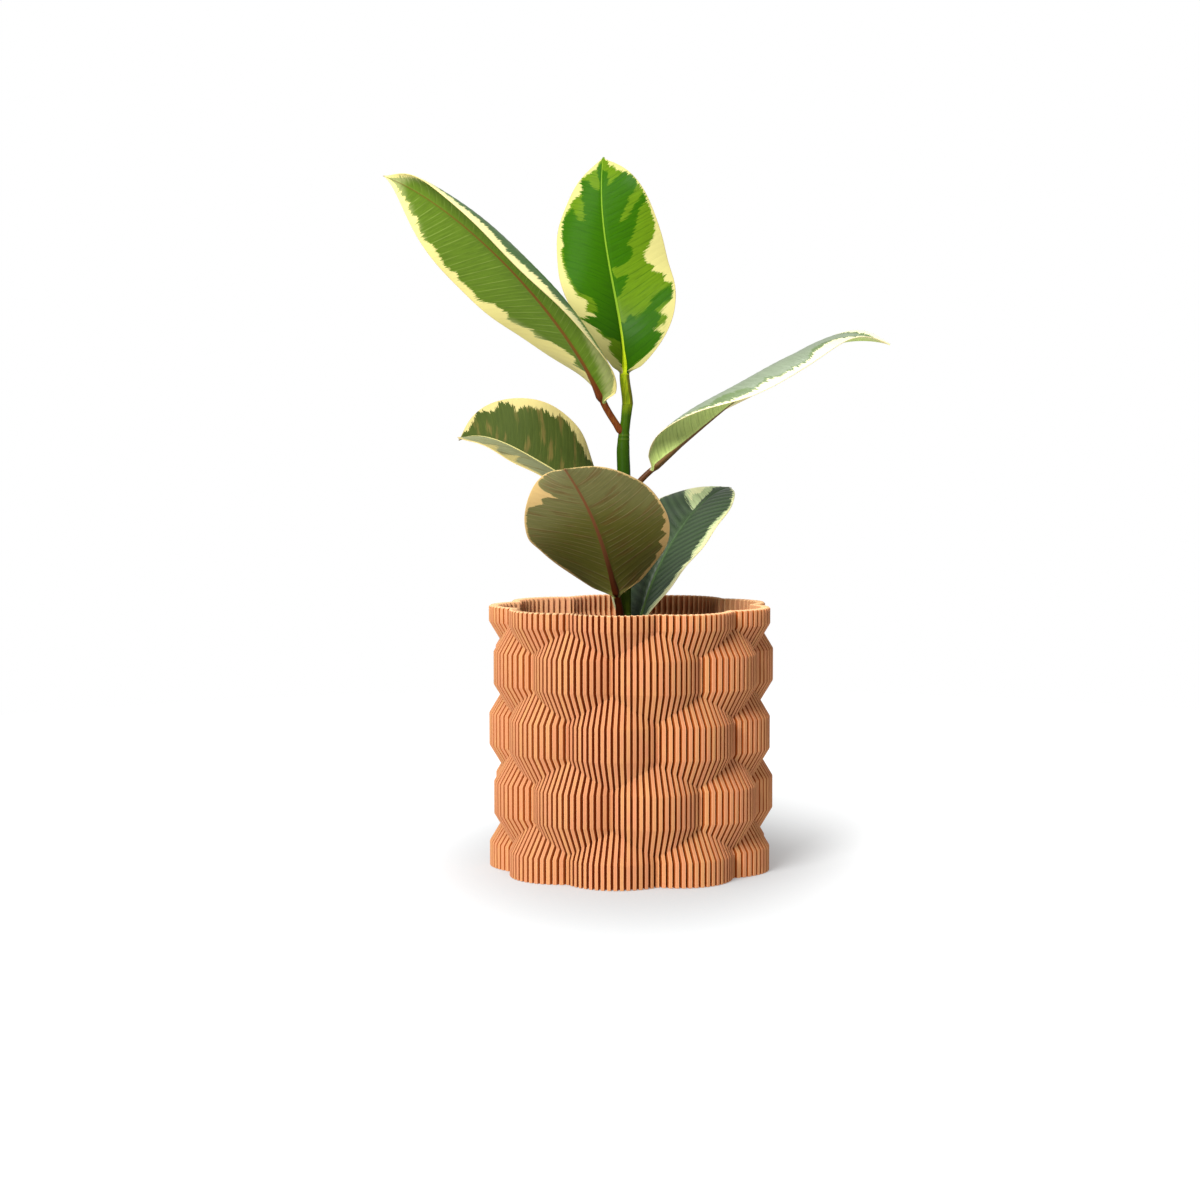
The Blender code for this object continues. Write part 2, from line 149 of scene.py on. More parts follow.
@dataclass
class Leaf:
    """One leaf. The midrib is a Bezier curve from the blade's base to its tip.

    Angles are in degrees, and a triple is read at the base, the middle and the tip. The upper side
    faces (azimuth, rise): azimuth 0 is the front, and grows towards +X. Right and left are seen
    from the upper side with the tip up. A half blade leaves the midrib lifted above the flat, and
    bends on by its curl before it reaches the margin. Half widths, lifts and curls are left, right.

    A colour outline's points are (across, along) in percent: across runs from -100 at the left
    margin to 100 at the right one, and along from 0 at the blade's base to 100 at its tip.
    """

    midrib: tuple
    azimuth: tuple
    rise: tuple
    half_width: tuple
    widest: float
    fullness: float
    tip_taper: float
    lift: tuple
    curl: tuple
    joint_height: float
    slot: str
    stalk_radius: tuple = (0.0018, 0.0015)
    stalk_rise: float = 45.0
    relief: float = 1.0
    teeth: float = 1.0
    seed: float = 0.0


LEAVES = {
    "leaf_top": Leaf(
        midrib=((-0.0035, -0.0027, 0.2586), (-0.0035, -0.0039, 0.2935),
                (-0.0199, 0.0127, 0.3302), (-0.0150, 0.0483, 0.3769)),
        azimuth=(6, 15, -24), rise=(9, 18, 27), half_width=(0.0281, 0.0333), widest=0.441,
        fullness=0.98, tip_taper=15.0, lift=((43, 12, 7), (48, 8, 19)),
        curl=((27, -54, -6), (30, -18, 14)), joint_height=0.2430, slot="young_leaf",
        stalk_radius=(0.0029, 0.0026), stalk_rise=90.0,
    ),
    "leaf_upper_left": Leaf(
        midrib=((-0.0143, -0.0058, 0.2437), (-0.0380, -0.0293, 0.2971),
                (-0.0945, -0.0412, 0.3477), (-0.1268, -0.0207, 0.3593)),
        azimuth=(134, 165, 155), rise=(10, 36, 13), half_width=(0.0300, 0.0305), widest=0.469,
        fullness=1.03, tip_taper=10.4, lift=((25, 22, 2), (31, 4, -12)),
        curl=((-34, -139, -31), (17, -10, -22)), joint_height=0.2270, slot="pale_leaf",
        stalk_radius=(0.0018, 0.0018), stalk_rise=60.0, seed=11.0,
    ),
    "leaf_right": Leaf(
        midrib=((0.0103, -0.0020, 0.2084), (0.0606, -0.0081, 0.2525),
                (0.0961, -0.0106, 0.2852), (0.1342, -0.0138, 0.2739)),
        azimuth=(-1, -2, 1), rise=(100, 96, 75), half_width=(0.0326, 0.0330), widest=0.513,
        fullness=1.35, tip_taper=9.0, lift=((50, 23, 32), (110, 29, 50)),
        curl=((27, -43, 4), (-89, -99, -24)), joint_height=0.1925, slot="pale_leaf",
        stalk_rise=62.0, seed=23.0,
    ),
    "leaf_middle_left": Leaf(
        midrib=((-0.0151, 0.0029, 0.1931), (-0.0534, -0.0003, 0.2147),
                (-0.0733, 0.0067, 0.2323), (-0.0923, 0.0232, 0.2244)),
        azimuth=(2, -4, 3), rise=(67, 60, 49), half_width=(0.0313, 0.0316), widest=0.452,
        fullness=1.28, tip_taper=13.0, lift=((14, 27, 23), (15, 34, 34)),
        curl=((-11, 1, 9), (-34, -6, 11)), joint_height=0.1800, slot="old_leaf", seed=37.0,
    ),
    "leaf_front": Leaf(
        midrib=((-0.0074, -0.0098, 0.1425), (-0.0140, -0.0203, 0.1679),
                (-0.0172, -0.0561, 0.1876), (-0.0322, -0.0999, 0.2114)),
        azimuth=(180, 166, 188), rise=(18, 56, 72), half_width=(0.0364, 0.0360), widest=0.434,
        fullness=1.06, tip_taper=15.0, lift=((24, 15, 18), (31, -3, 23)),
        curl=((2, 3, 14), (11, -14, 17)), joint_height=0.1220, slot="old_leaf",
        stalk_radius=(0.0021, 0.0019), stalk_rise=60.0, seed=53.0, teeth=0.4,
    ),
    "leaf_lower_right": Leaf(
        midrib=((0.0044, 0.0088, 0.1261), (0.0130, 0.0213, 0.1624),
                (0.0363, 0.0338, 0.1968), (0.0550, 0.0531, 0.1981)),
        azimuth=(-40, -30, -26), rise=(25, 36, 45), half_width=(0.0309, 0.0309), widest=0.459,
        fullness=1.00, tip_taper=14.0, lift=((15, 13, 0), (31, 28, 23)),
        curl=((-25, -21, -23), (10, -13, -18)), joint_height=0.1150, slot="dark_leaf",
        stalk_radius=(0.0020, 0.0018), relief=3.0, seed=71.0,
    ),
}

# Colour fields on the blades, outside the first cream and inside the second deepest green
GREEN_OUTLINES = {
    "leaf_top": (
        (0, -5), (55, 3.5), (86, 8), (94, 13), (70, 15), (90, 17), (88, 20), (72, 21), (93, 26),
        (98, 34.5), (82, 36), (88, 40), (68, 41), (72, 44), (60, 46), (58, 50), (72, 54),
        (86, 60), (94, 66), (96, 76), (98, 87), (76, 90), (62, 93), (80, 97), (0, 105),
        (-60, 96.5), (-45, 93.5), (-98, 89.5), (-75, 86), (-56, 81), (-80, 79), (-92, 72),
        (-90, 64), (-85, 57), (-92, 53.5), (-88, 48), (-84, 40), (-78, 32), (-62, 29.5),
        (-76, 25), (-60, 23.5), (-93, 22.5), (-75, 18.5), (-60, 14.5), (-40, 13), (-62, 9.5),
        (-40, 5.5), (-10, 2),
    ),
    "leaf_upper_left": (
        (0, -5), (5, 11), (45, 14), (20, 15.5), (16, 17.5), (38, 22), (50, 25), (72, 28.5),
        (60, 30), (76, 34.5), (82, 38.5), (70, 40), (75, 46), (90, 50), (85, 55), (89, 60),
        (82, 62), (90, 66), (85, 70), (78, 73), (88, 78), (84, 81.5), (68, 83), (76, 87),
        (58, 89), (62, 91.5), (45, 94), (0, 102), (-40, 96), (-66, 92), (-82, 83), (-88, 74),
        (-84, 64), (-90, 55), (-85, 45), (-91, 35), (-86, 28), (-94, 18), (-90, 8), (-70, 3),
    ),
    "leaf_right": (
        (0, -5), (88, 3), (95, 10), (96.5, 22), (96.5, 32), (95, 40), (92, 47), (84, 53),
        (91, 58), (89, 64), (91, 69), (76, 73), (62, 78), (66, 83), (84, 88), (60, 95), (0, 97.5),
        (-55, 93), (-75, 86), (-86, 76), (-84, 66), (-70, 58), (-88, 50), (-92, 36), (-94, 18),
        (-86, 4),
    ),
    "leaf_middle_left": (
        (0, -5), (70, 5), (90, 10), (94, 16), (78, 20), (84, 26), (80, 30), (86, 36), (90, 42),
        (93, 48), (84, 50), (86, 56), (83, 60), (86, 64), (78, 67), (70, 68.5), (82, 70),
        (90, 75.5), (95, 78), (72, 79.5), (80, 83), (98, 87.5), (60, 90), (40, 92.5), (75, 95),
        (0, 105), (-80, 94), (-94, 80), (-92, 68), (-50, 64), (-90, 60), (-92, 56), (-42, 52),
        (-88, 49), (-90, 40), (-94, 20), (-80, 6),
    ),
    "leaf_front": (
        (0, -5), (70, 2), (93, 5), (90, 12), (97, 20), (97.5, 40), (97.5, 60), (96, 69),
        (70, 70.5), (76, 74), (66, 75), (44, 73.5), (60, 77.5), (82, 81), (96, 84), (97, 95),
        (94, 98.5), (0, 102), (-94, 98.5), (-97, 95), (-97.5, 70), (-97.5, 48), (-93, 44),
        (-97, 40), (-88, 33), (-95, 30), (-84, 25), (-93, 21), (-87, 16), (-94, 12), (-80, 4),
    ),
    "leaf_lower_right": (
        (0, -5), (55, 6), (78, 12), (88, 20), (92, 30), (97, 37), (89, 41), (92, 50), (89, 56),
        (92, 62), (95, 70), (98, 76), (93, 83), (97, 92), (0, 105), (-110, 95), (-70, 90),
        (-45, 86), (-34, 82), (-42, 80), (-27, 75.7), (-60, 80), (-105, 84), (-97, 70), (-96, 40),
        (-92, 12), (-60, 6),
    ),
}
DEEP_OUTLINES = {
    "leaf_top": (
        (0, -5), (55, 3.5), (86, 8), (94, 13), (70, 15), (76, 20), (66, 23), (93, 27), (97, 34),
        (85, 32), (62, 28.5), (48, 23.5), (30, 21), (20, 23.5), (8, 20), (2, 21), (2, 31),
        (10, 32), (25, 38), (27, 40.5), (6, 39.5), (2, 44), (25, 45.5), (40, 49), (42, 53),
        (36, 54.5), (50, 60), (60, 66), (72, 71.5), (95, 76), (95, 79), (68, 74.5), (45, 68),
        (28, 64), (36, 69), (60, 77), (95, 83), (96, 88.5), (45, 86.5), (18, 84), (26, 90.5),
        (0, 93), (-15, 96.5), (-42, 95), (-20, 90), (-6, 86), (-5, 81.5), (-22, 82.5),
        (-50, 87.5), (-90, 88.5), (-58, 81), (-45, 75), (-40, 66.5), (-52, 67), (-72, 75),
        (-90, 71), (-88, 60), (-86, 50), (-80, 38), (-72, 33), (-52, 31), (-46, 25.5),
        (-91, 22.3), (-60, 16.5), (-58, 14.5), (-10, 13), (-5, 5),
    ),
    "leaf_upper_left": (
        (0, -5), (60, 28), (95, 50), (95, 75), (60, 90), (0, 93), (-60, 90), (-95, 70), (-95, 36),
        (-40, 22), (-30, 2),
    ),
    "leaf_right": (
        (0, -5), (86, 5), (93, 20), (90, 32), (76, 36), (78, 44), (86, 48), (78, 53), (87, 58),
        (86, 64), (88, 69), (62, 72), (40, 80), (30, 90), (0, 93), (-45, 90), (-70, 80),
        (-82, 60), (-88, 40), (-84, 10),
    ),
    # leaf_middle_left: the deep green covers only its right half, so the left half shows the pale green
    # as a painted reflection
    "leaf_middle_left": (
        (0, -5), (110, -5), (110, 105), (0, 105),
    ),
    # leaf_front: the lighter top above this deep green, blended over 16 mm underneath, is a painted
    # sheen
    "leaf_front": (
        (0, -5), (100, 0), (105, 30), (60, 50), (20, 60), (-30, 62), (-70, 50), (-105, 40),
        (-100, 0),
    ),
    "leaf_lower_right": (
        (0, -5), (50, 6), (76, 13), (86, 22), (90, 31), (95, 37), (82, 42), (86, 52), (85, 62),
        (92, 70), (97, 78), (92, 84), (95, 92), (0, 103), (-60, 95), (-12, 85), (-3, 70),
        (-35, 75), (-105, 84), (-96, 68), (-95, 30), (-90, 13),
    ),
}


@dataclass
class Skin:
    """Colours of one side of a blade, in sRGB percent, and its gloss.

    Painted shade darkens the blade in a furrow along each side vein, and towards its base.
    The midrib's line is wider by rib_extra, and the deep green fades out over deep_blend, both in
    millimetres.
    """

    deep: tuple
    green: tuple
    cream: tuple
    rib: tuple
    vein: tuple
    bronze: tuple = (0, 0, 0)
    bronze_share: float = 0.0
    vein_strength: float = 0.25
    furrow_shade: float = 0.0
    painted_base_shade: float = 0.0
    rib_extra: float = 0.0
    deep_blend: float = 0.15
    roughness: float = 0.36
    gloss: float = 0.16


UPPER_SKINS = {
    "leaf_top": Skin(
        deep=(19, 38, 1), green=(37, 50, 7), cream=(78, 75, 47), rib=(48, 62, 16),
        vein=(12, 32, 1), vein_strength=0.45, painted_base_shade=0.3, rib_extra=-0.1, gloss=0.04,
    ),
    "leaf_upper_left": Skin(
        deep=(30, 42, 24), green=(46, 56, 32), cream=(90, 87, 62), rib=(60, 66, 36),
        vein=(40, 50, 30), gloss=0.3,
    ),
    "leaf_right": Skin(
        deep=(53, 58, 48), green=(42, 50, 32), cream=(95, 93, 74), rib=(80, 78, 56),
        vein=(54, 62, 50), gloss=0.35,
    ),
    # Its pale green, on the left half, is a painted reflection
    "leaf_middle_left": Skin(
        deep=(27, 32, 13), green=(60, 61, 46), cream=(79, 73, 48), rib=(80, 76, 50),
        vein=(38, 41, 18), bronze=(50, 42, 23), bronze_share=0.6, vein_strength=0.4,
        roughness=0.6, gloss=0.05,
    ),
    "leaf_front": Skin(
        deep=(20, 28, 12), green=(38, 44, 20), cream=(90, 80, 50), rib=(60, 62, 34),
        vein=(32, 40, 20), bronze=(40, 32, 18), bronze_share=0.3,
    ),
    "leaf_lower_right": Skin(
        deep=(26, 34, 22), green=(76, 82, 60), cream=(90, 90, 68), rib=(28, 38, 22),
        vein=(28, 36, 24), bronze=(28, 28, 22), bronze_share=0.15, vein_strength=0.3, furrow_shade=0.55,
        painted_base_shade=0.5, roughness=0.33, gloss=0.25,
    ),
}
UNDER_SKINS = {
    "leaf_top": Skin(
        deep=(40, 54, 20), green=(54, 65, 28), cream=(92, 90, 60), rib=(58, 60, 20),
        vein=(56, 68, 36), roughness=0.5,
    ),
    "leaf_upper_left": Skin(
        deep=(36, 47, 11), green=(61, 64, 39), cream=(90, 85, 54), rib=(44, 30, 10),
        vein=(56, 64, 30), vein_strength=0.4, deep_blend=3.0, roughness=0.48, gloss=0.12,
    ),
    "leaf_right": Skin(
        deep=(83, 91, 53), green=(85, 90, 58), cream=(93, 88, 64), rib=(46, 32, 16),
        vein=(60, 70, 36), vein_strength=0.5, painted_base_shade=0.35, rib_extra=-0.35, roughness=0.5,
    ),
    "leaf_middle_left": Skin(
        deep=(40, 42, 22), green=(50, 50, 28), cream=(90, 80, 52), rib=(38, 20, 12),
        vein=(46, 46, 28), bronze=(46, 36, 22), bronze_share=0.3, roughness=0.5,
    ),
    # The lighter top fading into the deep green over 16 mm is a painted sheen
    "leaf_front": Skin(
        deep=(43, 42, 17), green=(50, 49, 29), cream=(88, 74, 48), rib=(54, 34, 21),
        vein=(62, 58, 40), bronze=(46, 31, 17), bronze_share=0.45, vein_strength=0.6,
        rib_extra=0.25, deep_blend=16.0, roughness=0.45, gloss=0.14,
    ),
    "leaf_lower_right": Skin(
        deep=(38, 42, 28), green=(50, 55, 38), cream=(88, 86, 66), rib=(46, 30, 18),
        vein=(44, 48, 34), roughness=0.5,
    ),
}
# Painted shade along the side veins
FURROW_SHADE_GREEN = (6, 13, 8)
CLOUD_GREEN = (10, 16, 5)
# Painted shade towards the blade's base
BASE_SHADE_GREEN = (3, 8, 5)
DRY_EDGE = (86, 74, 50)
STALK_COLOURS = {
    "leaf_top": ((70, 76, 10), (54, 64, 6), (46, 46, 10)),
    "leaf_upper_left": ((43, 20, 8), (50, 28, 11), (34, 16, 7)),
    "leaf_right": ((46, 34, 18), (36, 22, 10), (34, 20, 9)),
    "leaf_middle_left": ((36, 26, 12), (34, 18, 10), (34, 20, 10)),
    "leaf_front": ((28, 10, 2), (22, 8, 2), (20, 7, 2)),
    "leaf_lower_right": ((28, 38, 14), (34, 24, 12), (26, 30, 12)),
}
TERRACOTTA = (77, 51, 34)
TERRACOTTA_WARM = (79, 55, 35)
TERRACOTTA_PINK = (78, 50, 35)
# Painted highlight on the rib bevels, the inner ribs and the rim
TERRACOTTA_HIGHLIGHT = (100, 80, 60)
# Painted shade in the grooves and the inner wall's recesses
TERRACOTTA_SHADE = (62, 30, 11)

# Stage: the sky's light on the plant and in its gloss, the floor's own glow, dimmer near the planter
# as a painted shadow, and each lamp's place, width and watts
SKY_LIGHT = 0.30
SKY_MIRRORED = 0.55
FLOOR_GLOW_AND_SHADOW = (0.23, 0.79)
FLOOR_LIGHT = 0.5
FLOOR_RADIUS = 0.8
LAMPS = {"key": ((-0.85, -1.60, 1.25), 0.9, 56.0), "top": ((-0.45, -0.35, 1.9), 1.2, 17.0)}
LAMP_AIM = (0.0, 0.0, 0.15)

# Camera: where it stands, how far it looks down, its lens and how far the frame is shifted
CAMERA_PLACE = (0.0, -1.2106, 0.2325)
CAMERA_PITCH = math.radians(4.357)
FRAME_PIXELS = 1200
FOCAL_PIXELS = 2301.9
AXIS_PIXEL = 631.18
SENSOR_MM = 36.0


def linear(channel):
    return channel / 12.92 if channel <= 0.04045 else ((channel + 0.055) / 1.055) ** 2.4


def paint(colour):
    """An sRGB colour in percent as the four linear numbers that a shader's socket takes."""
    return (*(linear(channel / 100) for channel in colour), 1.0)


class Field:
    """A value inside a node tree, so that a formula reads as a formula."""

    def __init__(self, tree, socket):
        self.tree = tree
        self.socket = socket

    def math(self, operation, *others):
        return calculate(self.tree, operation, self, *others)

    def __rsub__(self, other):
        return calculate(self.tree, "SUBTRACT", other, self)

    def __floordiv__(self, other):
        return (self / other).math("FLOOR")

    __add__ = __radd__ = partialmethod(math, "ADD")
    __sub__ = partialmethod(math, "SUBTRACT")
    __mul__ = __rmul__ = partialmethod(math, "MULTIPLY")
    __truediv__ = partialmethod(math, "DIVIDE")
    __mod__ = partialmethod(math, "FLOORED_MODULO")
    __pow__ = partialmethod(math, "POWER")
    __lt__ = partialmethod(math, "LESS_THAN")
    __gt__ = partialmethod(math, "GREATER_THAN")
    __abs__ = partialmethod(math, "ABSOLUTE")


def plug(tree, value, socket):
    """Feeds a field, or a plain value, into a socket."""
    if isinstance(value, Field):
        tree.links.new(value.socket, socket)
    else:
        socket.default_value = value


def calculate(tree, operation, *values):
    node = tree.nodes.new("ShaderNodeMath")
    node.operation = operation
    for value, socket in zip(values, node.inputs):
        plug(tree, value, socket)
    return Field(tree, node.outputs[0])


def add_node(tree, kind, inputs=None, output=0, **settings):
    """A node with its settings and inputs, and the field of one of its outputs."""
    node = tree.nodes.new(kind)
    for name, value in settings.items():
        setattr(node, name, value)
    for name, value in (inputs or {}).items():
        plug(tree, value, node.inputs[name])
    return Field(tree, node.outputs[output])


def split(vector):
    """The x, y and z fields of a vector."""
    node = vector.tree.nodes.new("ShaderNodeSeparateXYZ")
    plug(vector.tree, vector, node.inputs["Vector"])
    return [Field(vector.tree, output) for output in node.outputs]


def combine(tree, x=0.0, y=0.0, z=0.0):
    return add_node(tree, "ShaderNodeCombineXYZ", {"X": x, "Y": y, "Z": z})


def between(first, second, share):
    """From first to second as share goes from 0 to 1."""
    return first + (second - first) * share


def least(first, second):
    return first.math("MINIMUM", second)


def most(first, second):
    return first.math("MAXIMUM", second)


class Recipe:
    """A Geometry Nodes tree with named inputs, run once and kept as a plain mesh."""

    def __init__(self, name):
        self.tree = bpy.data.node_groups.new(name, "GeometryNodeTree")
        self.tree.interface.new_socket("Geometry", in_out="OUTPUT", socket_type="NodeSocketGeometry")
        self.entry = self.tree.nodes.new("NodeGroupInput")
        self.exit = self.tree.nodes.new("NodeGroupOutput")
        self.values = {}

    def take(self, name, value, kind="NodeSocketFloat"):
        """A named input of the tree, with the value that this object gives it."""
        entry = self.tree.interface.new_socket(name, in_out="INPUT", socket_type=kind)
        self.values[entry.identifier] = value
        return Field(self.tree, self.entry.outputs[name])

    def add(self, kind, inputs=None, output=0, **settings):
        return add_node(self.tree, kind, inputs, output, **settings)

    def mark(self, geometry, name, value):
        """Stores a value on the points, for the material to read."""
        return self.add("GeometryNodeStoreNamedAttribute",
                        {"Geometry": geometry, "Name": name, "Value": value},
                        data_type="FLOAT", domain="POINT")

    def finish(self, geometry, material):
        """Ends the tree in plain geometry with its material."""
        finish = self.take("Finish", material, "NodeSocketMaterial")
        real = self.add("GeometryNodeRealizeInstances", {"Geometry": geometry})
        dressed = self.add("GeometryNodeSetMaterial", {"Geometry": real, "Material": finish})
        plug(self.tree, dressed, self.exit.inputs["Geometry"])

    def grow(self, name):
        """Runs the tree on an empty object and keeps its mesh."""
        piece = add_piece(name, bpy.data.meshes.new(name))
        modifier = piece.modifiers.new("recipe", "NODES")
        modifier.node_group = self.tree
        for identifier, value in self.values.items():
            modifier[identifier] = value
        bpy.context.view_layer.update()
        evaluated = piece.evaluated_get(bpy.context.evaluated_depsgraph_get())
        mesh = bpy.data.meshes.new_from_object(evaluated)
        piece.modifiers.clear()
        piece.data = mesh
        return piece


def add_piece(name, mesh):
    piece = bpy.data.objects.new(name, mesh)
    bpy.context.scene.collection.objects.link(piece)
    return piece


def seat(piece, slot, *nodes):
    """Lets a piece ride with the plant in place of its solids."""
    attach(piece, BODY)
    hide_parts(*nodes)


class Planter:
    """The planter's wall as formulas over a bearing, for the trees of the pot and the soil."""

    def __init__(self, recipe):
        self.recipe = recipe
        for name, value in PLANTER.items():
            setattr(self, name.lower().replace(" ", "_"), recipe.take(name, value))

    def rib(self, column):
        """Angle from the first lobe, inset behind the rib tips, painted groove shade and bevel
        highlight masks, column of a rib.
        """
        step = column % COLUMNS_PER_RIB
        fold = least(step, COLUMNS_PER_RIB - step)
        half = self.rib_share * 0.5
        on_front = half * (fold * 0.45 - (fold > 1.5) * 0.08 - (fold > 2.5) * 0.27)
        in_groove = 0.5 - (5.0 - fold) * (0.5 - half - self.rib_flank)
        offset = between(on_front, in_groove, fold > 3.5)
        offset = between(offset, 1.0 - offset, step > 5.5)
        angle = (((column + 0.01) // COLUMNS_PER_RIB) + offset) / self.ribs * math.tau
        inset = most(fold - 2.0, 0.0) * self.rib_crown
        inset = between(inset, self.rib_depth, fold > 3.5)
        # Mask of the painted groove shade, from the bevel down the flank
        groove_shade = least(most(fold - 2.0, 0.0), 1.0)
        # Mask of the painted bevel highlight
        bevel_highlight = 1.0 - least(abs(fold - 1.8), 1.0)
        return angle, inset, groove_shade, bevel_highlight, fold

    def outline(self, row, angle):
        turn = (row % 2.0) * math.pi / self.lobes
        swing = abs(((angle - turn) * self.lobes * 0.5).math("COSINE"))
        return self.radius - self.lobe_depth * (1.0 - swing**self.lobe_fullness)

    def middle(self, row):
        return self.first_row_middle + (row - 1.0) * self.row_pitch

    def low(self, row):
        level = self.middle(row) - self.row_flat * 0.5
        return least(most(level, 0.0), self.height - self.rim_band)

    def high(self, row):
        level = self.middle(row) + self.row_flat * 0.5
        return least(between(level, self.base_band, row < 0.5), self.height)

    def bend(self, number, angle):
        """Radius and height of a bend of the wall: the low, high and waist of each row in turn."""
        row = (number + 0.01) // 3.0
        kind = number - row * 3.0
        radius = self.outline(row, angle)
        above = self.outline(row + 1.0, angle)
        low = self.low(row)
        high = self.high(row)
        waist = (high + self.low(row + 1.0)) * 0.5 + (radius - above) * 0.5 / self.chamfer_slope
        at_waist = kind > 1.5
        level = between(low, high, kind > 0.5)
        reach = radius - self.chamfer_slope * (waist - high) * at_waist
        return reach, between(level, waist, at_waist)

    def polar(self, radius, angle, height):
        bearing = angle + self.first_lobe
        across = radius * bearing.math("SINE")
        back = radius * bearing.math("COSINE") * -1.0
        return combine(self.recipe.tree, across, back, height)


def counted_grid(recipe, columns, levels):
    """A flat grid, with the column and the level of each of its points."""
    grid = recipe.add("GeometryNodeMeshGrid", {
        "Size X": float(columns), "Size Y": float(levels - 1),
        "Vertices X": columns + 1, "Vertices Y": levels})
    x, y, _ = split(recipe.add("GeometryNodeInputPosition"))
    counts = {"column": (x + 0.5 * columns).math("ROUND"),
              "level": (y + 0.5 * (levels - 1)).math("ROUND")}
    kept = recipe.tree.nodes.new("GeometryNodeCaptureAttribute")
    for name in counts:
        kept.capture_items.new("FLOAT", name)
    plug(recipe.tree, grid, kept.inputs["Geometry"])
    for name, value in counts.items():
        plug(recipe.tree, value, kept.inputs[name])
    return tuple(Field(recipe.tree, kept.outputs[name]) for name in ("Geometry", *counts))


def close_up(recipe, geometry):
    """Welds the seam and the poles, and shades the surface smooth."""
    welded = recipe.add("GeometryNodeMergeByDistance", {"Geometry": geometry, "Distance": 1e-6})
    return recipe.add("GeometryNodeSetShadeSmooth", {"Geometry": welded, "Shade Smooth": True})


def make_planter(material):
    """One skin: up the ribbed outside, over the rim, down the inside and across the floor."""
    recipe = Recipe("ribbed_planter")
    planter = Planter(recipe)
    floor = recipe.take("Floor", FLOOR)
    bend_rounding = recipe.take("Bend Rounding", BEND_ROUNDING)
    rim_rounding = recipe.take("Rim Rounding", RIM_ROUNDING)
    bends = 3 * ROWS - 2
    turn_back = 4 * bends + 1
    grid, column, level = counted_grid(recipe, COLUMNS, turn_back + 3)
    angle, inset, groove_shade, bevel_highlight, fold_of_rib = planter.rib(column)
    step = level - 1.0
    inside = step > 0.5 * turn_back
    fold = least(step, turn_back - step)
    number = (fold + 1.01) // 2.0
    side = between(-1.0, 1.0, (fold - number * 2.0) > -0.5)
    at_rim = fold > 2.0 * bends - 0.5
    beyond = least(most(number + side, 0.0), float(bends))
    near = planter.bend(number, angle)
    far = planter.bend(beyond, angle)
    run = abs(far[1] - near[1])
    rounding = between(bend_rounding, rim_rounding, number > bends - 0.5)
    share = least(rounding / most(run, 1e-4), 0.45) * (run > 1e-5) * (fold > 0.5)
    radius = between(near[0], far[0], share) - inset - planter.wall * inside
    radius = radius + rounding * at_rim * between(-1.0, 1.0, inside)
    radius = radius * (fold > -0.5)
    height = between(near[1], far[1], share)
    height = most(height, floor * inside) * (fold > -0.5) + floor * (fold < -0.5) * inside
    shaped = recipe.add("GeometryNodeSetPosition",
                        {"Geometry": grid, "Position": planter.polar(radius, angle, height)})
    # Painted highlight: the rib bevels, the ribs of the inner wall and the rim top lighter
    painted_highlight = most(between(bevel_highlight, groove_shade, inside) * EDGE_HIGHLIGHT, at_rim)
    # Painted shade: the outer grooves and the inner wall's recesses darker, not at the rim
    painted_shade = between(groove_shade, (fold_of_rib < 1.5) * INNER_RECESS_SHADE, inside) * (1.0 - at_rim)
    marked = recipe.mark(recipe.mark(shaped, "groove_shade", painted_shade), "painted_highlight", painted_highlight)
    recipe.finish(close_up(recipe, marked), material)
    pot = recipe.grow("planter")
    pot.data.set_sharp_from_angle(angle=math.radians(50))
    seat(pot, "planter", "pot")


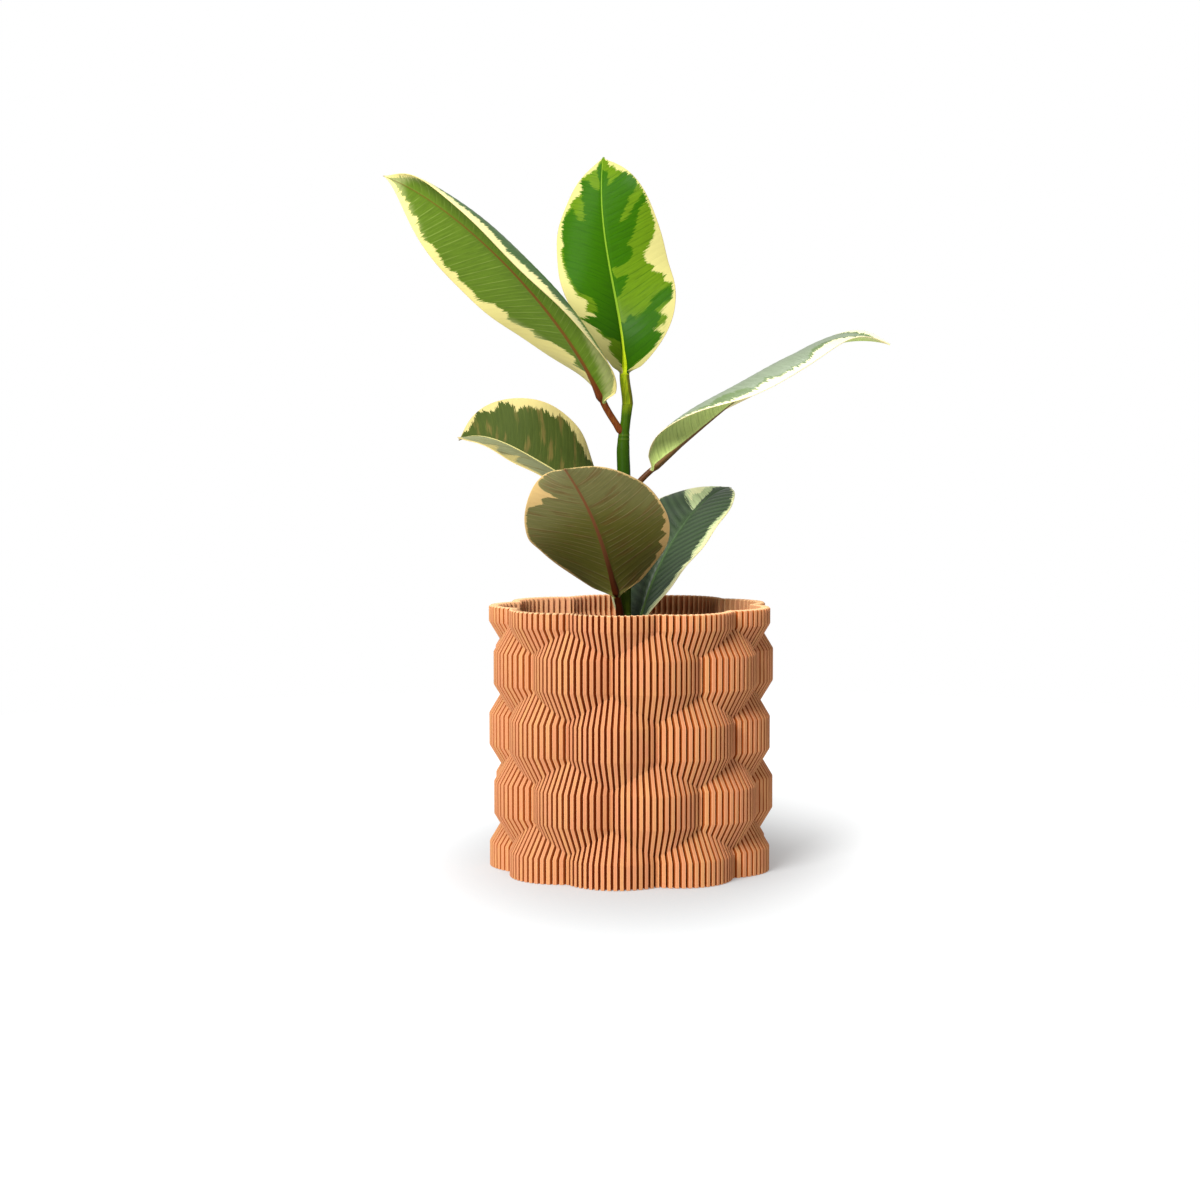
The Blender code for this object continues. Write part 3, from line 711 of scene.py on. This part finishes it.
def make_soil(material):
    """Crumbly mix out to the planter's inner wall, strewn with bark chips and a little grit."""
    recipe = Recipe("potting_mix")
    planter = Planter(recipe)
    top = recipe.take("Level", SOIL_TOP)
    mound = recipe.take("Mound", SOIL_MOUND)
    bottom = recipe.take("Depth", SOIL_BOTTOM)
    seed = recipe.take("Seed", 7, "NodeSocketInt")
    rings = SOIL_RINGS
    grid, column, level = counted_grid(recipe, COLUMNS, rings + 3)
    angle, inset, *_ = planter.rib(column)
    wall = planter.outline(recipe.take("Row", ROWS - 2.0), angle) - inset - planter.wall - SOIL_GAP
    share = least(most((rings + 2.0 - level) / rings, 0.0), 1.0) * (level > 0.5)
    radius = wall * share
    underneath = level < 1.5
    raised = top + mound * (1.0 - share**2.0)
    height = between(raised, bottom, underneath)
    flat = planter.polar(radius, angle, height)
    shaped = recipe.add("GeometryNodeSetPosition", {"Geometry": grid, "Position": flat})
    shaped = recipe.mark(shaped, "share", share)
    rough = recipe.add("ShaderNodeTexNoise", {"Scale": 260.0, "Detail": 4.0, "Roughness": 0.65})
    lift = (rough - 0.5) * SOIL_ROUGHNESS * (1.0 - underneath)
    offset = combine(recipe.tree, z=lift)
    crumbled = recipe.add("GeometryNodeSetPosition", {"Geometry": shaped, "Offset": offset})
    ground = close_up(recipe, crumbled)
    upwards = split(recipe.add("GeometryNodeInputNormal"))[2] > 0.2
    reach = recipe.add("GeometryNodeInputNamedAttribute", {"Name": "share"}, data_type="FLOAT")
    open_ground = upwards * (reach < SOIL_STREWN_TO)
    parts = [ground]
    for kind, (density, small, large, flatness) in SOIL_STREWN.items():
        points = recipe.add("GeometryNodeDistributePointsOnFaces", {
            "Mesh": ground, "Selection": open_ground, "Density": density, "Seed": seed})
        scale, turn = (
            recipe.add("FunctionNodeRandomValue", {"Min": low, "Max": high, "Seed": seed},
                       data_type="FLOAT_VECTOR")
            for low, high in (((small,) * 3, (large, large, large * flatness)),
                              ((-0.5, -0.5, 0.0), (0.5, 0.5, math.tau))))
        crumb = recipe.add("GeometryNodeMeshIcoSphere", {"Radius": 0.5, "Subdivisions": 1})
        strewn = recipe.add("GeometryNodeInstanceOnPoints",
                            {"Points": points, "Instance": crumb, "Rotation": turn, "Scale": scale})
        real = recipe.add("GeometryNodeRealizeInstances", {"Geometry": strewn})
        parts.append(recipe.mark(real, kind, 1.0))
        seed = seed + 1.0
    join = recipe.tree.nodes.new("GeometryNodeJoinGeometry")
    for part in reversed(parts):
        recipe.tree.links.new(part.socket, join.inputs[0])
    recipe.finish(Field(recipe.tree, join.outputs[0]), material)
    seat(recipe.grow("potting_mix"), "potting_mix", "soil")


def stem_at(height):
    """The stem's middle and radius at a height, on smooth curves through its named points."""
    path = np.array(STEM_PATH)
    heights = path[:, 2]
    slopes = np.gradient(path, heights, axis=0)
    i = min(max(np.searchsorted(heights, height) - 1, 0), len(heights) - 2)
    span = heights[i + 1] - heights[i]
    t = (height - heights[i]) / span
    middle = (1 - t) ** 2 * (1 + 2 * t) * path[i] + t**2 * (3 - 2 * t) * path[i + 1]
    middle += t * (1 - t) * span * ((1 - t) * slopes[i] - t * slopes[i + 1])
    return middle, float(np.interp(height, heights, STEM_RADII))


def loft(rings):
    """Quads between rings of points, closed by a fan at each end."""
    rings = np.asarray(rings)
    levels, count = rings.shape[:2]
    points = np.concatenate([rings.reshape(-1, 3), [rings[0].mean(axis=0)], [rings[-1].mean(axis=0)]])
    base = np.arange(levels - 1)[:, None] * count
    i = np.arange(count)[None]
    j = (i + 1) % count
    quads = np.stack([base + i, base + j, base + count + j, base + count + i], axis=-1)
    first = levels * count
    last = (levels - 1) * count
    faces = quads.reshape(-1, 4).tolist()
    faces += [(first, (k + 1) % count, k) for k in range(count)]
    faces += [(first + 1, last + k, last + (k + 1) % count) for k in range(count)]
    return points, faces


def make_mesh(name, points, faces):
    mesh = bpy.data.meshes.new(name)
    mesh.from_pydata(points.tolist(), [], faces)
    mesh.shade_smooth()
    return mesh


def add_attribute(mesh, name, values):
    layer = mesh.attributes.new(name, "FLOAT", "POINT")
    layer.data.foreach_set("value", np.asarray(values, np.float32))


def make_stem(material):
    """Stem with the ring scars that leaves and their sheaths left at each node."""
    rings = []
    turns = np.linspace(0.0, math.tau, STEM_SIDES, endpoint=False)
    joints = [leaf.joint_height for leaf in LEAVES.values() if leaf.stalk_rise < 90.0]
    scars = np.array([*joints, *(joint - SHEATH_SCAR_DROP for joint in joints), *OLD_SCARS])

    def near_scar(heights):
        away = (np.asarray(heights)[..., None] - scars) / SCAR_WIDTH
        return np.minimum(np.exp(-(away**2)).sum(axis=-1), 1.0)

    for height in np.linspace(STEM_PATH[0][2], STEM_PATH[-1][2], STEM_RINGS):
        centre, radius = stem_at(height)
        grain = 0.00004 * np.sin(5 * turns + 40 * height) + 0.00003 * np.sin(9 * turns - 90 * height)
        reach = radius + SCAR_HEIGHT * near_scar(height) + grain
        rings.append(np.stack([centre[0] + reach * np.sin(turns), centre[1] - reach * np.cos(turns),
                               np.full(STEM_SIDES, height)], axis=-1))
    points, faces = loft(rings)
    mesh = make_mesh("stem_bark", points, faces)
    add_attribute(mesh, "scar", near_scar(points[:, 2]))
    mesh.materials.append(material)
    seat(add_piece("stem_bark", mesh), "stem", "stem")


def unit(vectors):
    return vectors / np.linalg.norm(vectors, axis=-1, keepdims=True)


def bezier(handles, t):
    a, b, c, d = (np.array(handle) for handle in handles)
    t = np.asarray(t)[..., None]
    return (1 - t) ** 3 * a + 3 * (1 - t) ** 2 * t * b + 3 * (1 - t) * t**2 * c + t**3 * d


def bezier_slope(handles, t):
    a, b, c, d = (np.array(handle) for handle in handles)
    t = np.asarray(t)[..., None]
    return (1 - t) ** 2 * (b - a) + 2 * (1 - t) * t * (c - b) + t**2 * (d - c)


def along(triple, u):
    """A value given at base, middle and tip, read at u on a parabola."""
    base, middle, tip = triple
    return base * (1 - u) * (1 - 2 * u) + middle * 4 * u * (1 - u) + tip * u * (2 * u - 1)


def half_profile(leaf, u):
    """The blade's half width at u, as a share of its widest: a full oval run into a drip tip."""
    u = np.clip(u, 1e-6, 1.0 - 1e-9)
    m, k = leaf.widest, leaf.fullness
    oval = (u / m) ** (k * m) * ((1 - u) / (1 - m)) ** (k * (1 - m))
    tip = leaf.tip_taper * (1 - u) ** TIP_POWER
    return (oval**-TIP_BLEND + tip**-TIP_BLEND) ** (-1 / TIP_BLEND)


def midrib_run(leaf):
    """Bezier parameters and the length reached at each, along the midrib."""
    fine = np.linspace(0.0, 1.0, 401)
    path = bezier(leaf.midrib, fine)
    run = np.concatenate([[0.0], np.cumsum(np.linalg.norm(np.diff(path, axis=0), axis=1))])
    return fine, run


def blade_frames(leaf, u, t):
    """Midrib points, directions, the right-hand side and the upper side's normal."""
    azimuth = np.radians(along(leaf.azimuth, u))
    rise = np.radians(along(leaf.rise, u))
    level = np.cos(rise)
    faces = np.stack([level * np.sin(azimuth), -level * np.cos(azimuth), np.sin(rise)], axis=-1)
    forward = unit(bezier_slope(leaf.midrib, t))
    right = unit(np.cross(forward, faces))
    return bezier(leaf.midrib, t), forward, right, np.cross(right, forward)


def half_blade(leaf, u, frames, side, length_mm):
    """Middle surface of one half, its outward skin, and each point's way across in millimetres."""
    middle, _, right, normal = frames
    sign = 2 * side - 1
    shares = (1 - (1 - np.linspace(0.0, 1.0, HALF_COLUMNS)) ** MARGIN_CROWDING)[None]
    width = np.maximum(leaf.half_width[side] * half_profile(leaf, u), NARROWEST)[:, None]
    lifted = np.radians(along(leaf.lift[side], u))[:, None]
    curled = np.radians(along(leaf.curl[side], u))[:, None]
    curled = np.where(np.abs(curled) < 1e-4, 1e-4, curled)
    bend = lifted + curled * shares
    across = width * (np.sin(bend) - np.sin(lifted)) / curled
    up = width * (np.cos(lifted) - np.cos(bend)) / curled
    skin = -np.sin(bend)[..., None] * sign * right[:, None] + np.cos(bend)[..., None] * normal[:, None]
    across_mm = 1000 * width * shares
    along_mm = u[:, None] * length_mm
    wave = EDGE_WAVE * shares**2 * np.sin(math.tau * EDGE_WAVES * u[:, None] + side)
    rows = vein_rows(along_mm, across_mm)
    fade = np.clip(across_mm / VEIN_FADE_MM, 0, 1) * np.clip((1 - shares) / MARGIN_FADE, 0, 1)
    wave = wave + leaf.relief * VEIN_RELIEF * np.cos(math.tau * rows) * fade
    points = middle[:, None] + sign * across[..., None] * right[:, None]
    points = points + up[..., None] * normal[:, None]
    return points + wave[..., None] * skin, skin, sign * across_mm, sign * np.repeat(shares, len(u), 0)


def vein_rows(along_mm, across_mm):
    """How many side veins lie below a point: they leave the midrib slanting and sweep upwards."""
    sweep = VEIN_SLANT * across_mm + VEIN_SWEEP * across_mm**2
    return (along_mm - sweep) / VEIN_SPACING_MM


def round_sections(middles, rights, normals, radii, count):
    """Round sections whose points match the blade's: they start at the left margin."""
    turn = math.pi - math.tau * np.arange(count) / count
    rim = np.cos(turn)[None, :, None] * rights[:, None] + np.sin(turn)[None, :, None] * normals[:, None]
    return middles[:, None] + radii[:, None, None] * rim


def stalk_sections(leaf, count):
    """Sections from inside the stem to the blade's base."""
    start = np.zeros(1)
    base, forward, _, normal = (part[0] for part in blade_frames(leaf, start, start))
    centre, radius = stem_at(leaf.joint_height)
    away = unit(np.array((*(base[:2] - centre[:2]), 0.0)))
    rise = math.radians(leaf.stalk_rise)
    first = math.cos(rise) * away + np.array((0.0, 0.0, math.sin(rise)))
    root = centre + STALK_ROOTING * radius * math.cos(rise) ** 0.3 * away
    reach = np.linalg.norm(base - root) / 3
    route = (root, root + reach * first, base - reach * forward, base)
    t = np.arange(STALK_RINGS) / STALK_RINGS
    direction = unit(bezier_slope(route, t))
    side = unit(np.cross(direction, normal[None]))
    run_mm = 1000 * np.linalg.norm(base - root) * t
    radii = leaf.stalk_radius[0] + t * (leaf.stalk_radius[1] - leaf.stalk_radius[0])
    if leaf.stalk_rise < 90.0:
        swell = COLLAR_SWELL * np.exp(-(((run_mm - COLLAR_PLACE_MM) / COLLAR_WIDTH_MM) ** 2))
        radii = radii * (1 + swell) * np.interp(run_mm, (0.0, STALK_FOOT_MM), (STALK_FOOT, 1.0))
    middles = bezier(route, t)
    return round_sections(middles, side, np.cross(side, direction), radii, count), run_mm


def inside_outline(points, outline):
    """Signed distance to a closed outline in millimetres, positive inside it."""
    ends = np.roll(outline, -1, axis=0)
    nearest = np.full(len(points), np.inf)
    crossings = np.zeros(len(points), int)
    for a, b in zip(outline, ends):
        edge = b - a
        share = np.clip(((points - a) @ edge) / max(edge @ edge, 1e-9), 0, 1)
        nearest = np.minimum(nearest, np.linalg.norm(points - a - share[:, None] * edge, axis=1))
        straddles = (a[1] > points[:, 1]) != (b[1] > points[:, 1])
        rise = edge[1] if abs(edge[1]) > 1e-9 else 1e-9
        crossings += straddles & (points[:, 0] < a[0] + (points[:, 1] - a[1]) * edge[0] / rise)
    return np.where(crossings % 2 == 1, nearest, -nearest)


def colour_field(leaf, length_mm, flat, outline):
    """Distance inside one outline, measured on the blade laid flat. Its sides follow the margin."""
    ends = np.roll(outline, -1, axis=0)
    steps = np.linspace(0.0, 1.0, OUTLINE_STEPS, endpoint=False)[None, :, None]
    corners = np.array(outline)[:, None] * (1 - steps) + ends[:, None] * steps
    corners = corners.reshape(-1, 2) / 100
    sides = np.where(corners[:, 0] > 0, leaf.half_width[1], leaf.half_width[0])
    reach = 1000 * sides * half_profile(leaf, np.clip(corners[:, 1], 0.02, 0.98))
    laid = np.stack([corners[:, 0] * reach, corners[:, 1] * length_mm], axis=-1)
    return inside_outline(flat, laid)


def ring_order(left, right):
    """Upper, lower and margin values of both halves as rings that start at the left margin."""
    return np.concatenate([left[2], left[0][:, :0:-1], right[0], right[2], right[1][:, :0:-1], left[1]],
                          axis=1)


def make_leaf(name, leaf, materials):
    """One loft from inside the stem, along the stalk and the blade, to the drip tip."""
    fine, run = midrib_run(leaf)
    length_mm = 1000 * run[-1]
    u = LAST_STATION * (0.5 - 0.5 * np.cos(np.linspace(0.0, math.pi, BLADE_STATIONS)))
    frames = blade_frames(leaf, u, np.interp(u * run[-1], run, fine))
    middle, _, right, normal = frames
    stalk = leaf.stalk_radius[1]
    rib = np.interp(u, RIDGE_SHARES, (stalk, *RIDGE_HALF_WIDTH))[:, None]
    ridge = np.interp(u, RIDGE_SHARES, (2 * stalk - BLADE, *RIDGE_HEIGHT))[:, None]
    halves = []
    for side in (0, 1):
        points, skin, across_mm, share = half_blade(leaf, u, frames, side, length_mm)
        half = 0.5 * BLADE * (1 - MARGIN_THINNING * share**4)
        near = np.clip(np.abs(across_mm) / 1000 / (1.15 * rib), 0, 1)
        hump = 0.5 + 0.5 * np.cos(math.pi * near)
        upper = points + (half - GROOVE_DEPTH * hump)[..., None] * skin
        lower = points - (half + ridge * hump)[..., None] * skin
        margin = (points[:, -1] + MARGIN_EDGE * (2 * side - 1) * right)[:, None]
        halves.append(((upper, lower, margin), (across_mm, across_mm, across_mm[:, -1:]),
                       (share, share, share[:, -1:])))
    sections, blade_across, blade_share = (ring_order(*pair) for pair in zip(*halves))
    count = sections.shape[1]
    rounds = round_sections(middle, right, normal, np.full(len(u), stalk), count)
    blend = np.clip(u / BLEND_LENGTH, 0, 1)
    blend = (blend**2 * (3 - 2 * blend))[:, None, None]
    blades = (1 - blend) * rounds + blend * sections
    stalks, run_mm = stalk_sections(leaf, count)
    points, faces = loft(np.concatenate([stalks, blades]))
    mesh = make_mesh(name, points, faces)
    u_all = np.concatenate([np.zeros(len(stalks)), u])
    rows_mm = np.concatenate([run_mm - run_mm[-1], u * length_mm])
    across_mm = np.concatenate([np.zeros(stalks.shape[:2]), blade_across]).ravel()
    around = np.cos(math.pi - math.tau * np.arange(count) / count)
    share = np.concatenate([np.tile(around, (len(stalks), 1)), blade_share]).ravel()
    along_mm = np.repeat(rows_mm, count)
    flat = np.stack([across_mm, along_mm], axis=-1)
    rib_all = np.interp(u_all, RIB_LINE_SHARES, (1000 * stalk, *RIB_LINE_MM))
    rib_mm = np.repeat(rib_all, count) - np.abs(across_mm)
    green = colour_field(leaf, length_mm, flat, GREEN_OUTLINES[name])
    deep = colour_field(leaf, length_mm, flat, DEEP_OUTLINES[name])
    for title, values in (("along", along_mm), ("across", across_mm), ("share", share),
                          ("rib", rib_mm), ("green", green), ("deep", deep)):
        add_attribute(mesh, title, np.concatenate([values, values[:1], values[-1:]]))
    for material in materials:
        mesh.materials.append(material)
    side = np.tile((np.arange(count) >= count // 2).astype(int), len(u_all) - 1)
    level = np.repeat(np.arange(len(u_all) - 1), count)
    slots = np.where(level < len(stalks), 2, side)
    slots = np.concatenate([slots, np.full(count, 2), np.full(count, 1)])
    mesh.polygons.foreach_set("material_index", slots.astype(np.int32))
    seat(add_piece(name + "_blade", mesh), leaf.slot, name)


def new_material(name, roughness, gloss=0.3):
    material = bpy.data.materials.new(name)
    material.use_nodes = True
    shader = material.node_tree.nodes["Principled BSDF"]
    shader.inputs["Roughness"].default_value = roughness
    shader.inputs["Specular IOR Level"].default_value = gloss
    return material, material.node_tree, shader


def object_place(tree):
    return add_node(tree, "ShaderNodeTexCoord", output="Object")


def read_attribute(tree, name):
    return add_node(tree, "ShaderNodeAttribute", output="Fac", attribute_name=name)


def noise(vector, scale, detail=2.0, roughness=0.5):
    inputs = {"Vector": vector, "Scale": scale, "Detail": detail, "Roughness": roughness}
    return add_node(vector.tree, "ShaderNodeTexNoise", inputs)


def mix(first, second, share):
    """Mixes two colours, each a field or a plain sRGB colour in percent."""
    tree = share.tree
    node = tree.nodes.new("ShaderNodeMix")
    node.data_type = "RGBA"
    plug(tree, share, node.inputs["Factor"])
    sockets = [socket for socket in node.inputs if socket.type == "RGBA"]
    for value, socket in zip((first, second), sockets):
        plug(tree, value if isinstance(value, Field) else paint(value), socket)
    return Field(tree, next(socket for socket in node.outputs if socket.type == "RGBA"))


def ramp(value, low, high):
    """0 below low, 1 above high, and smooth between."""
    inputs = {"Value": value, "From Min": low, "From Max": high}
    return add_node(value.tree, "ShaderNodeMapRange", inputs, interpolation_type="SMOOTHSTEP")


def bump(shader, height, depth_m):
    tree = height.tree
    normal = add_node(tree, "ShaderNodeBump", {"Distance": depth_m, "Strength": 1.0, "Height": height})
    plug(tree, normal, shader.inputs["Normal"])


def leaf_skin(name, leaf, skin, stalk, under):
    """Variegated blade: cream margin, green fields with toothed edges, side veins and midrib."""
    material, tree, shader = new_material(name, skin.roughness, skin.gloss)
    way_up = read_attribute(tree, "along")
    across = read_attribute(tree, "across")
    out = abs(across)
    sweep = way_up - out * VEIN_SLANT - out * out * VEIN_SWEEP
    half = (across > 0.0) * 40.0

    def drawn_out(fineness, run, start, detail, roughness):
        """Noise drawn out along the side veins, and unlike on the two halves."""
        place = combine(tree, sweep * fineness, out * run, half + (leaf.seed + start))
        return noise(place, 1.0, detail, roughness)

    teeth = (drawn_out(0.6, 0.04, 0.0, 4.0, 0.7) - 0.5) * 7.0 * leaf.teeth
    deep_teeth = (drawn_out(0.6, 0.07, 9.0, 4.0, 0.7) - 0.5) * 5.0 * leaf.teeth
    fine_teeth = (drawn_out(1.9, 0.05, 5.0, 3.0, 0.7) - 0.5) * 6.0 * leaf.teeth
    blotch = drawn_out(0.22, 0.05, 2.0, 3.0, 0.55)
    tone = drawn_out(0.9, 0.12, 3.0, 3.0, 0.6)
    inner = ramp(out, 0.0, 4.0)
    green = ramp(read_attribute(tree, "green") + (teeth + fine_teeth) * inner, -0.12, 0.12)
    deep = read_attribute(tree, "deep") + (deep_teeth + fine_teeth) * inner
    deep = ramp(deep, -skin.deep_blend, skin.deep_blend)
    colour = mix(skin.green, skin.deep, deep)
    streak = ramp(blotch, 0.52, 0.66) * skin.bronze_share
    colour = mix(colour, skin.bronze, streak)
    lines = abs(((sweep / VEIN_SPACING_MM) % 1.0) - 0.5)
    minor = abs(((sweep / (VEIN_SPACING_MM * 0.5) + blotch) % 1.0) - 0.5)
    vein = (1.0 - ramp(lines, 0.0, 0.10)) + (1.0 - ramp(minor, 0.0, 0.14)) * 0.4
    vein = vein * inner * ramp(blotch, 0.3, 0.6)
    # Painted shade in the furrows along the side veins, as from the relief of the folds
    furrow_shade = (1.0 - ramp(lines, 0.0, 0.45)) * inner * deep
    colour = mix(colour, FURROW_SHADE_GREEN, furrow_shade * skin.furrow_shade)
    colour = mix(colour, skin.vein, vein * skin.vein_strength)
    colour = mix(colour, CLOUD_GREEN, ramp(tone, 0.35, 0.75) * 0.22)
    colour = mix(skin.cream, colour, green)
    # Painted shade, darker towards the blade's base
    low = 1.0 - ramp(way_up, 0.0, 60.0)
    colour = mix(colour, BASE_SHADE_GREEN, low * skin.painted_base_shade)
    rib = ramp(read_attribute(tree, "rib") + (tone - 0.5) * 0.25 + skin.rib_extra, -0.10, 0.10)
    rib_fade = 1.0 - ramp(way_up, 70.0, 150.0) * (0.45 if under else 0.1)
    rib_colour = mix(stalk, skin.rib, ramp(way_up, 0.0, 40.0))
    colour = mix(colour, rib_colour, rib * rib_fade)
    edge = ramp(abs(read_attribute(tree, "share")), 0.975, 0.995)
    colour = mix(colour, DRY_EDGE, edge * 0.35)
    plug(tree, colour, shader.inputs["Base Color"])
    grain = noise(object_place(tree), 2600.0, 2.0, 0.6)
    relief = vein * (1.0 if under else -0.6) + (tone - 0.5) * 0.5 + (grain - 0.5) * 0.25
    bump(shader, relief, 0.00005)
    return material


def stalk_skin(name, colours):
    """Smooth stalk in long streaks of its first two colours, its right side in the third."""
    material, tree, shader = new_material(name, 0.42, 0.14)
    place = object_place(tree)
    stretched = add_node(tree, "ShaderNodeMapping", {"Vector": place, "Scale": (900.0, 900.0, 130.0)})
    streak = noise(stretched, 1.0, 3.0, 0.6)
    colour = mix(colours[0], colours[1], ramp(streak, 0.38, 0.62))
    around = read_attribute(tree, "share") + (streak - 0.5) * 0.3
    colour = mix(colour, colours[2], ramp(around, 0.25, 0.45))
    plug(tree, colour, shader.inputs["Base Color"])
    bump(shader, streak, 0.00010)
    return material


def stem_skin():
    """Green bark: lime above, deeper below, with fine upright streaks and pale ring scars."""
    material, tree, shader = new_material("green_bark", 0.42, 0.12)
    place = object_place(tree)
    height = split(place)[2]
    stretched = add_node(tree, "ShaderNodeMapping", {"Vector": place, "Scale": (700.0, 700.0, 45.0)})
    streak = noise(stretched, 1.0, 4.0, 0.62)
    lower = mix((22, 27, 1), (16, 29, 0), ramp(height, 0.12, 0.19))
    upper = mix(lower, (23, 35, 1), ramp(height, 0.205, 0.240))
    upper = mix(upper, (56, 64, 8), ramp(height, 0.2365, 0.2455))
    dark = mix(upper, (12, 22, 1), ramp(streak, 0.50, 0.72) * 0.55)
    scar = read_attribute(tree, "scar")
    colour = mix(dark, (38, 46, 14), ramp(scar + streak * 0.4, 0.75, 1.2) * 0.45)
    plug(tree, colour, shader.inputs["Base Color"])
    bump(shader, streak, 0.00020)
    return material


def planter_skin():
    """Matte terracotta with fine print layers, its ribs a little unlike, painted shade in its grooves
    and painted highlight on its edges.
    """
    material, tree, shader = new_material("terracotta", 0.85, 0.04)
    place = object_place(tree)
    x, y, height = split(place)
    bearing = x.math("ARCTAN2", y * -1.0) - PLANTER["First Lobe"]
    rib_number = (bearing * PLANTER["Ribs"] / math.tau + 0.5).math("FLOOR")
    each = add_node(tree, "ShaderNodeTexWhiteNoise", {"W": rib_number}, noise_dimensions="1D")
    cloud = noise(combine(tree, rib_number * 3.1, z=height * 45.0), 1.0, 3.0, 0.5)
    grain = noise(place, 1500.0, 3.0, 0.65)
    warm = mix(TERRACOTTA, TERRACOTTA_WARM, each)
    body = mix(warm, TERRACOTTA_PINK, ramp(cloud, 0.42, 0.60) * 0.85)
    speck = mix(body, (60, 34, 20), ramp(grain, 0.55, 0.80) * 0.35)
    # Painted shade in the grooves and the inner recesses
    groove_shade = read_attribute(tree, "groove_shade")
    # Painted highlight on the bevels, the inner ribs and the rim
    painted_highlight = mix(speck, TERRACOTTA_HIGHLIGHT, read_attribute(tree, "painted_highlight"))
    colour = mix(painted_highlight, TERRACOTTA_SHADE, groove_shade)
    plug(tree, colour, shader.inputs["Base Color"])
    layers = (height * (math.tau / 0.0004)).math("SINE")
    bump(shader, layers * 0.25 + (grain - 0.5) * 0.8, 0.00006)
    return material


def soil_skin():
    """Dark peat with brown bark chips and a few pale grains."""
    material, tree, shader = new_material("potting_mix", 0.92)
    place = object_place(tree)
    crumbs = noise(place, 420.0, 4.0, 0.7)
    patch = noise(place, 90.0, 2.0, 0.5)
    peat = mix((7, 4.5, 3), (17, 11.5, 7.5), ramp(crumbs, 0.35, 0.7))
    bark = mix((15, 9, 5), (34, 22, 13), ramp(patch, 0.35, 0.65))
    mixed = mix(peat, bark, read_attribute(tree, "chip"))
    colour = mix(mixed, (55, 52, 46), read_attribute(tree, "grit") * 0.8)
    plug(tree, colour, shader.inputs["Base Color"])
    bump(shader, crumbs, 0.0004)
    return material


def make_leaves():
    for name, leaf in LEAVES.items():
        stalk_colours = STALK_COLOURS[name]
        stalk = stalk_skin(name + "_stalk", stalk_colours)
        upper = leaf_skin(name + "_upper", leaf, UPPER_SKINS[name], stalk_colours[0], under=False)
        under = leaf_skin(name + "_under", leaf, UNDER_SKINS[name], stalk_colours[0], under=True)
        make_leaf(name, leaf, (upper, under, stalk))


def make_stage():
    """White floor and background, the floor glowing less round the planter as a painted shadow, a soft
    light from the upper left and one from above.
    """
    turns = np.linspace(0.0, math.tau, 96, endpoint=False)
    points = FLOOR_RADIUS * np.stack([np.cos(turns), np.sin(turns), 0 * turns], axis=-1)
    mesh = bpy.data.meshes.new("floor")
    mesh.from_pydata(points.tolist(), [], [tuple(range(96))])
    floor = add_piece("floor", mesh)
    floor.location.z = -0.0002
    material, tree, shader = new_material("white_floor", 0.9, 0.0)
    shader.inputs["Base Color"].default_value = (0.40, 0.41, 0.415, 1.0)
    shader.inputs["Emission Color"].default_value = (1.0, 1.0, 1.0, 1.0)
    seen = add_node(tree, "ShaderNodeLightPath", output="Is Camera Ray")
    place = object_place(tree)
    # The floor's glow is dimmer in an oval round the planter: a painted shadow on top of the real one
    oval = add_node(tree, "ShaderNodeMapping", {"Vector": place, "Scale": (1.85, 1.0, 1.0)})
    away = add_node(tree, "ShaderNodeVectorMath", {0: oval}, output="Value", operation="LENGTH")
    painted_shadow_glow = between(*FLOOR_GLOW_AND_SHADOW, ramp(away, 0.08, 0.32))
    plug(tree, between(FLOOR_LIGHT, painted_shadow_glow, seen), shader.inputs["Emission Strength"])
    mesh.materials.append(material)
    world = bpy.data.worlds.new("white_studio")
    world.use_nodes = True
    background = world.node_tree.nodes["Background"]
    background.inputs["Color"].default_value = (1.0, 1.0, 1.0, 1.0)
    ray = world.node_tree
    seen = add_node(ray, "ShaderNodeLightPath", output="Is Camera Ray")
    mirrored = add_node(ray, "ShaderNodeLightPath", output="Is Glossy Ray")
    lighting = between(SKY_LIGHT, SKY_MIRRORED, mirrored)
    plug(ray, between(lighting, 1.0, seen), background.inputs["Strength"])
    bpy.context.scene.world = world
    for name, (place, size, power) in LAMPS.items():
        light = bpy.data.lights.new(name, "AREA")
        light.shape = "DISK"
        light.size = size
        light.energy = power
        lamp = bpy.data.objects.new(name, light)
        lamp.location = place
        aim = np.array(LAMP_AIM) - np.array(place)
        level = math.hypot(aim[0], aim[1])
        lamp.rotation_euler = (math.pi / 2 + math.atan2(aim[2], level), 0.0,
                               math.atan2(-aim[0], aim[1]))
        bpy.context.scene.collection.objects.link(lamp)
    scene = bpy.context.scene
    scene.view_settings.view_transform = "Standard"
    scene.view_settings.look = "None"


def make_camera():
    lens = bpy.data.cameras.new("camera")
    lens.sensor_width = SENSOR_MM
    lens.lens = FOCAL_PIXELS / FRAME_PIXELS * SENSOR_MM
    lens.shift_x = (0.5 * FRAME_PIXELS - AXIS_PIXEL) / FRAME_PIXELS
    lens.clip_end = 50.0
    camera = bpy.data.objects.new("camera", lens)
    camera.location = CAMERA_PLACE
    camera.rotation_euler = (math.pi / 2 - CAMERA_PITCH, 0.0, 0.0)
    bpy.context.scene.collection.objects.link(camera)
    bpy.context.scene.camera = camera


make_camera()
make_stage()
make_planter(planter_skin())
make_soil(soil_skin())
make_stem(stem_skin())
make_leaves()
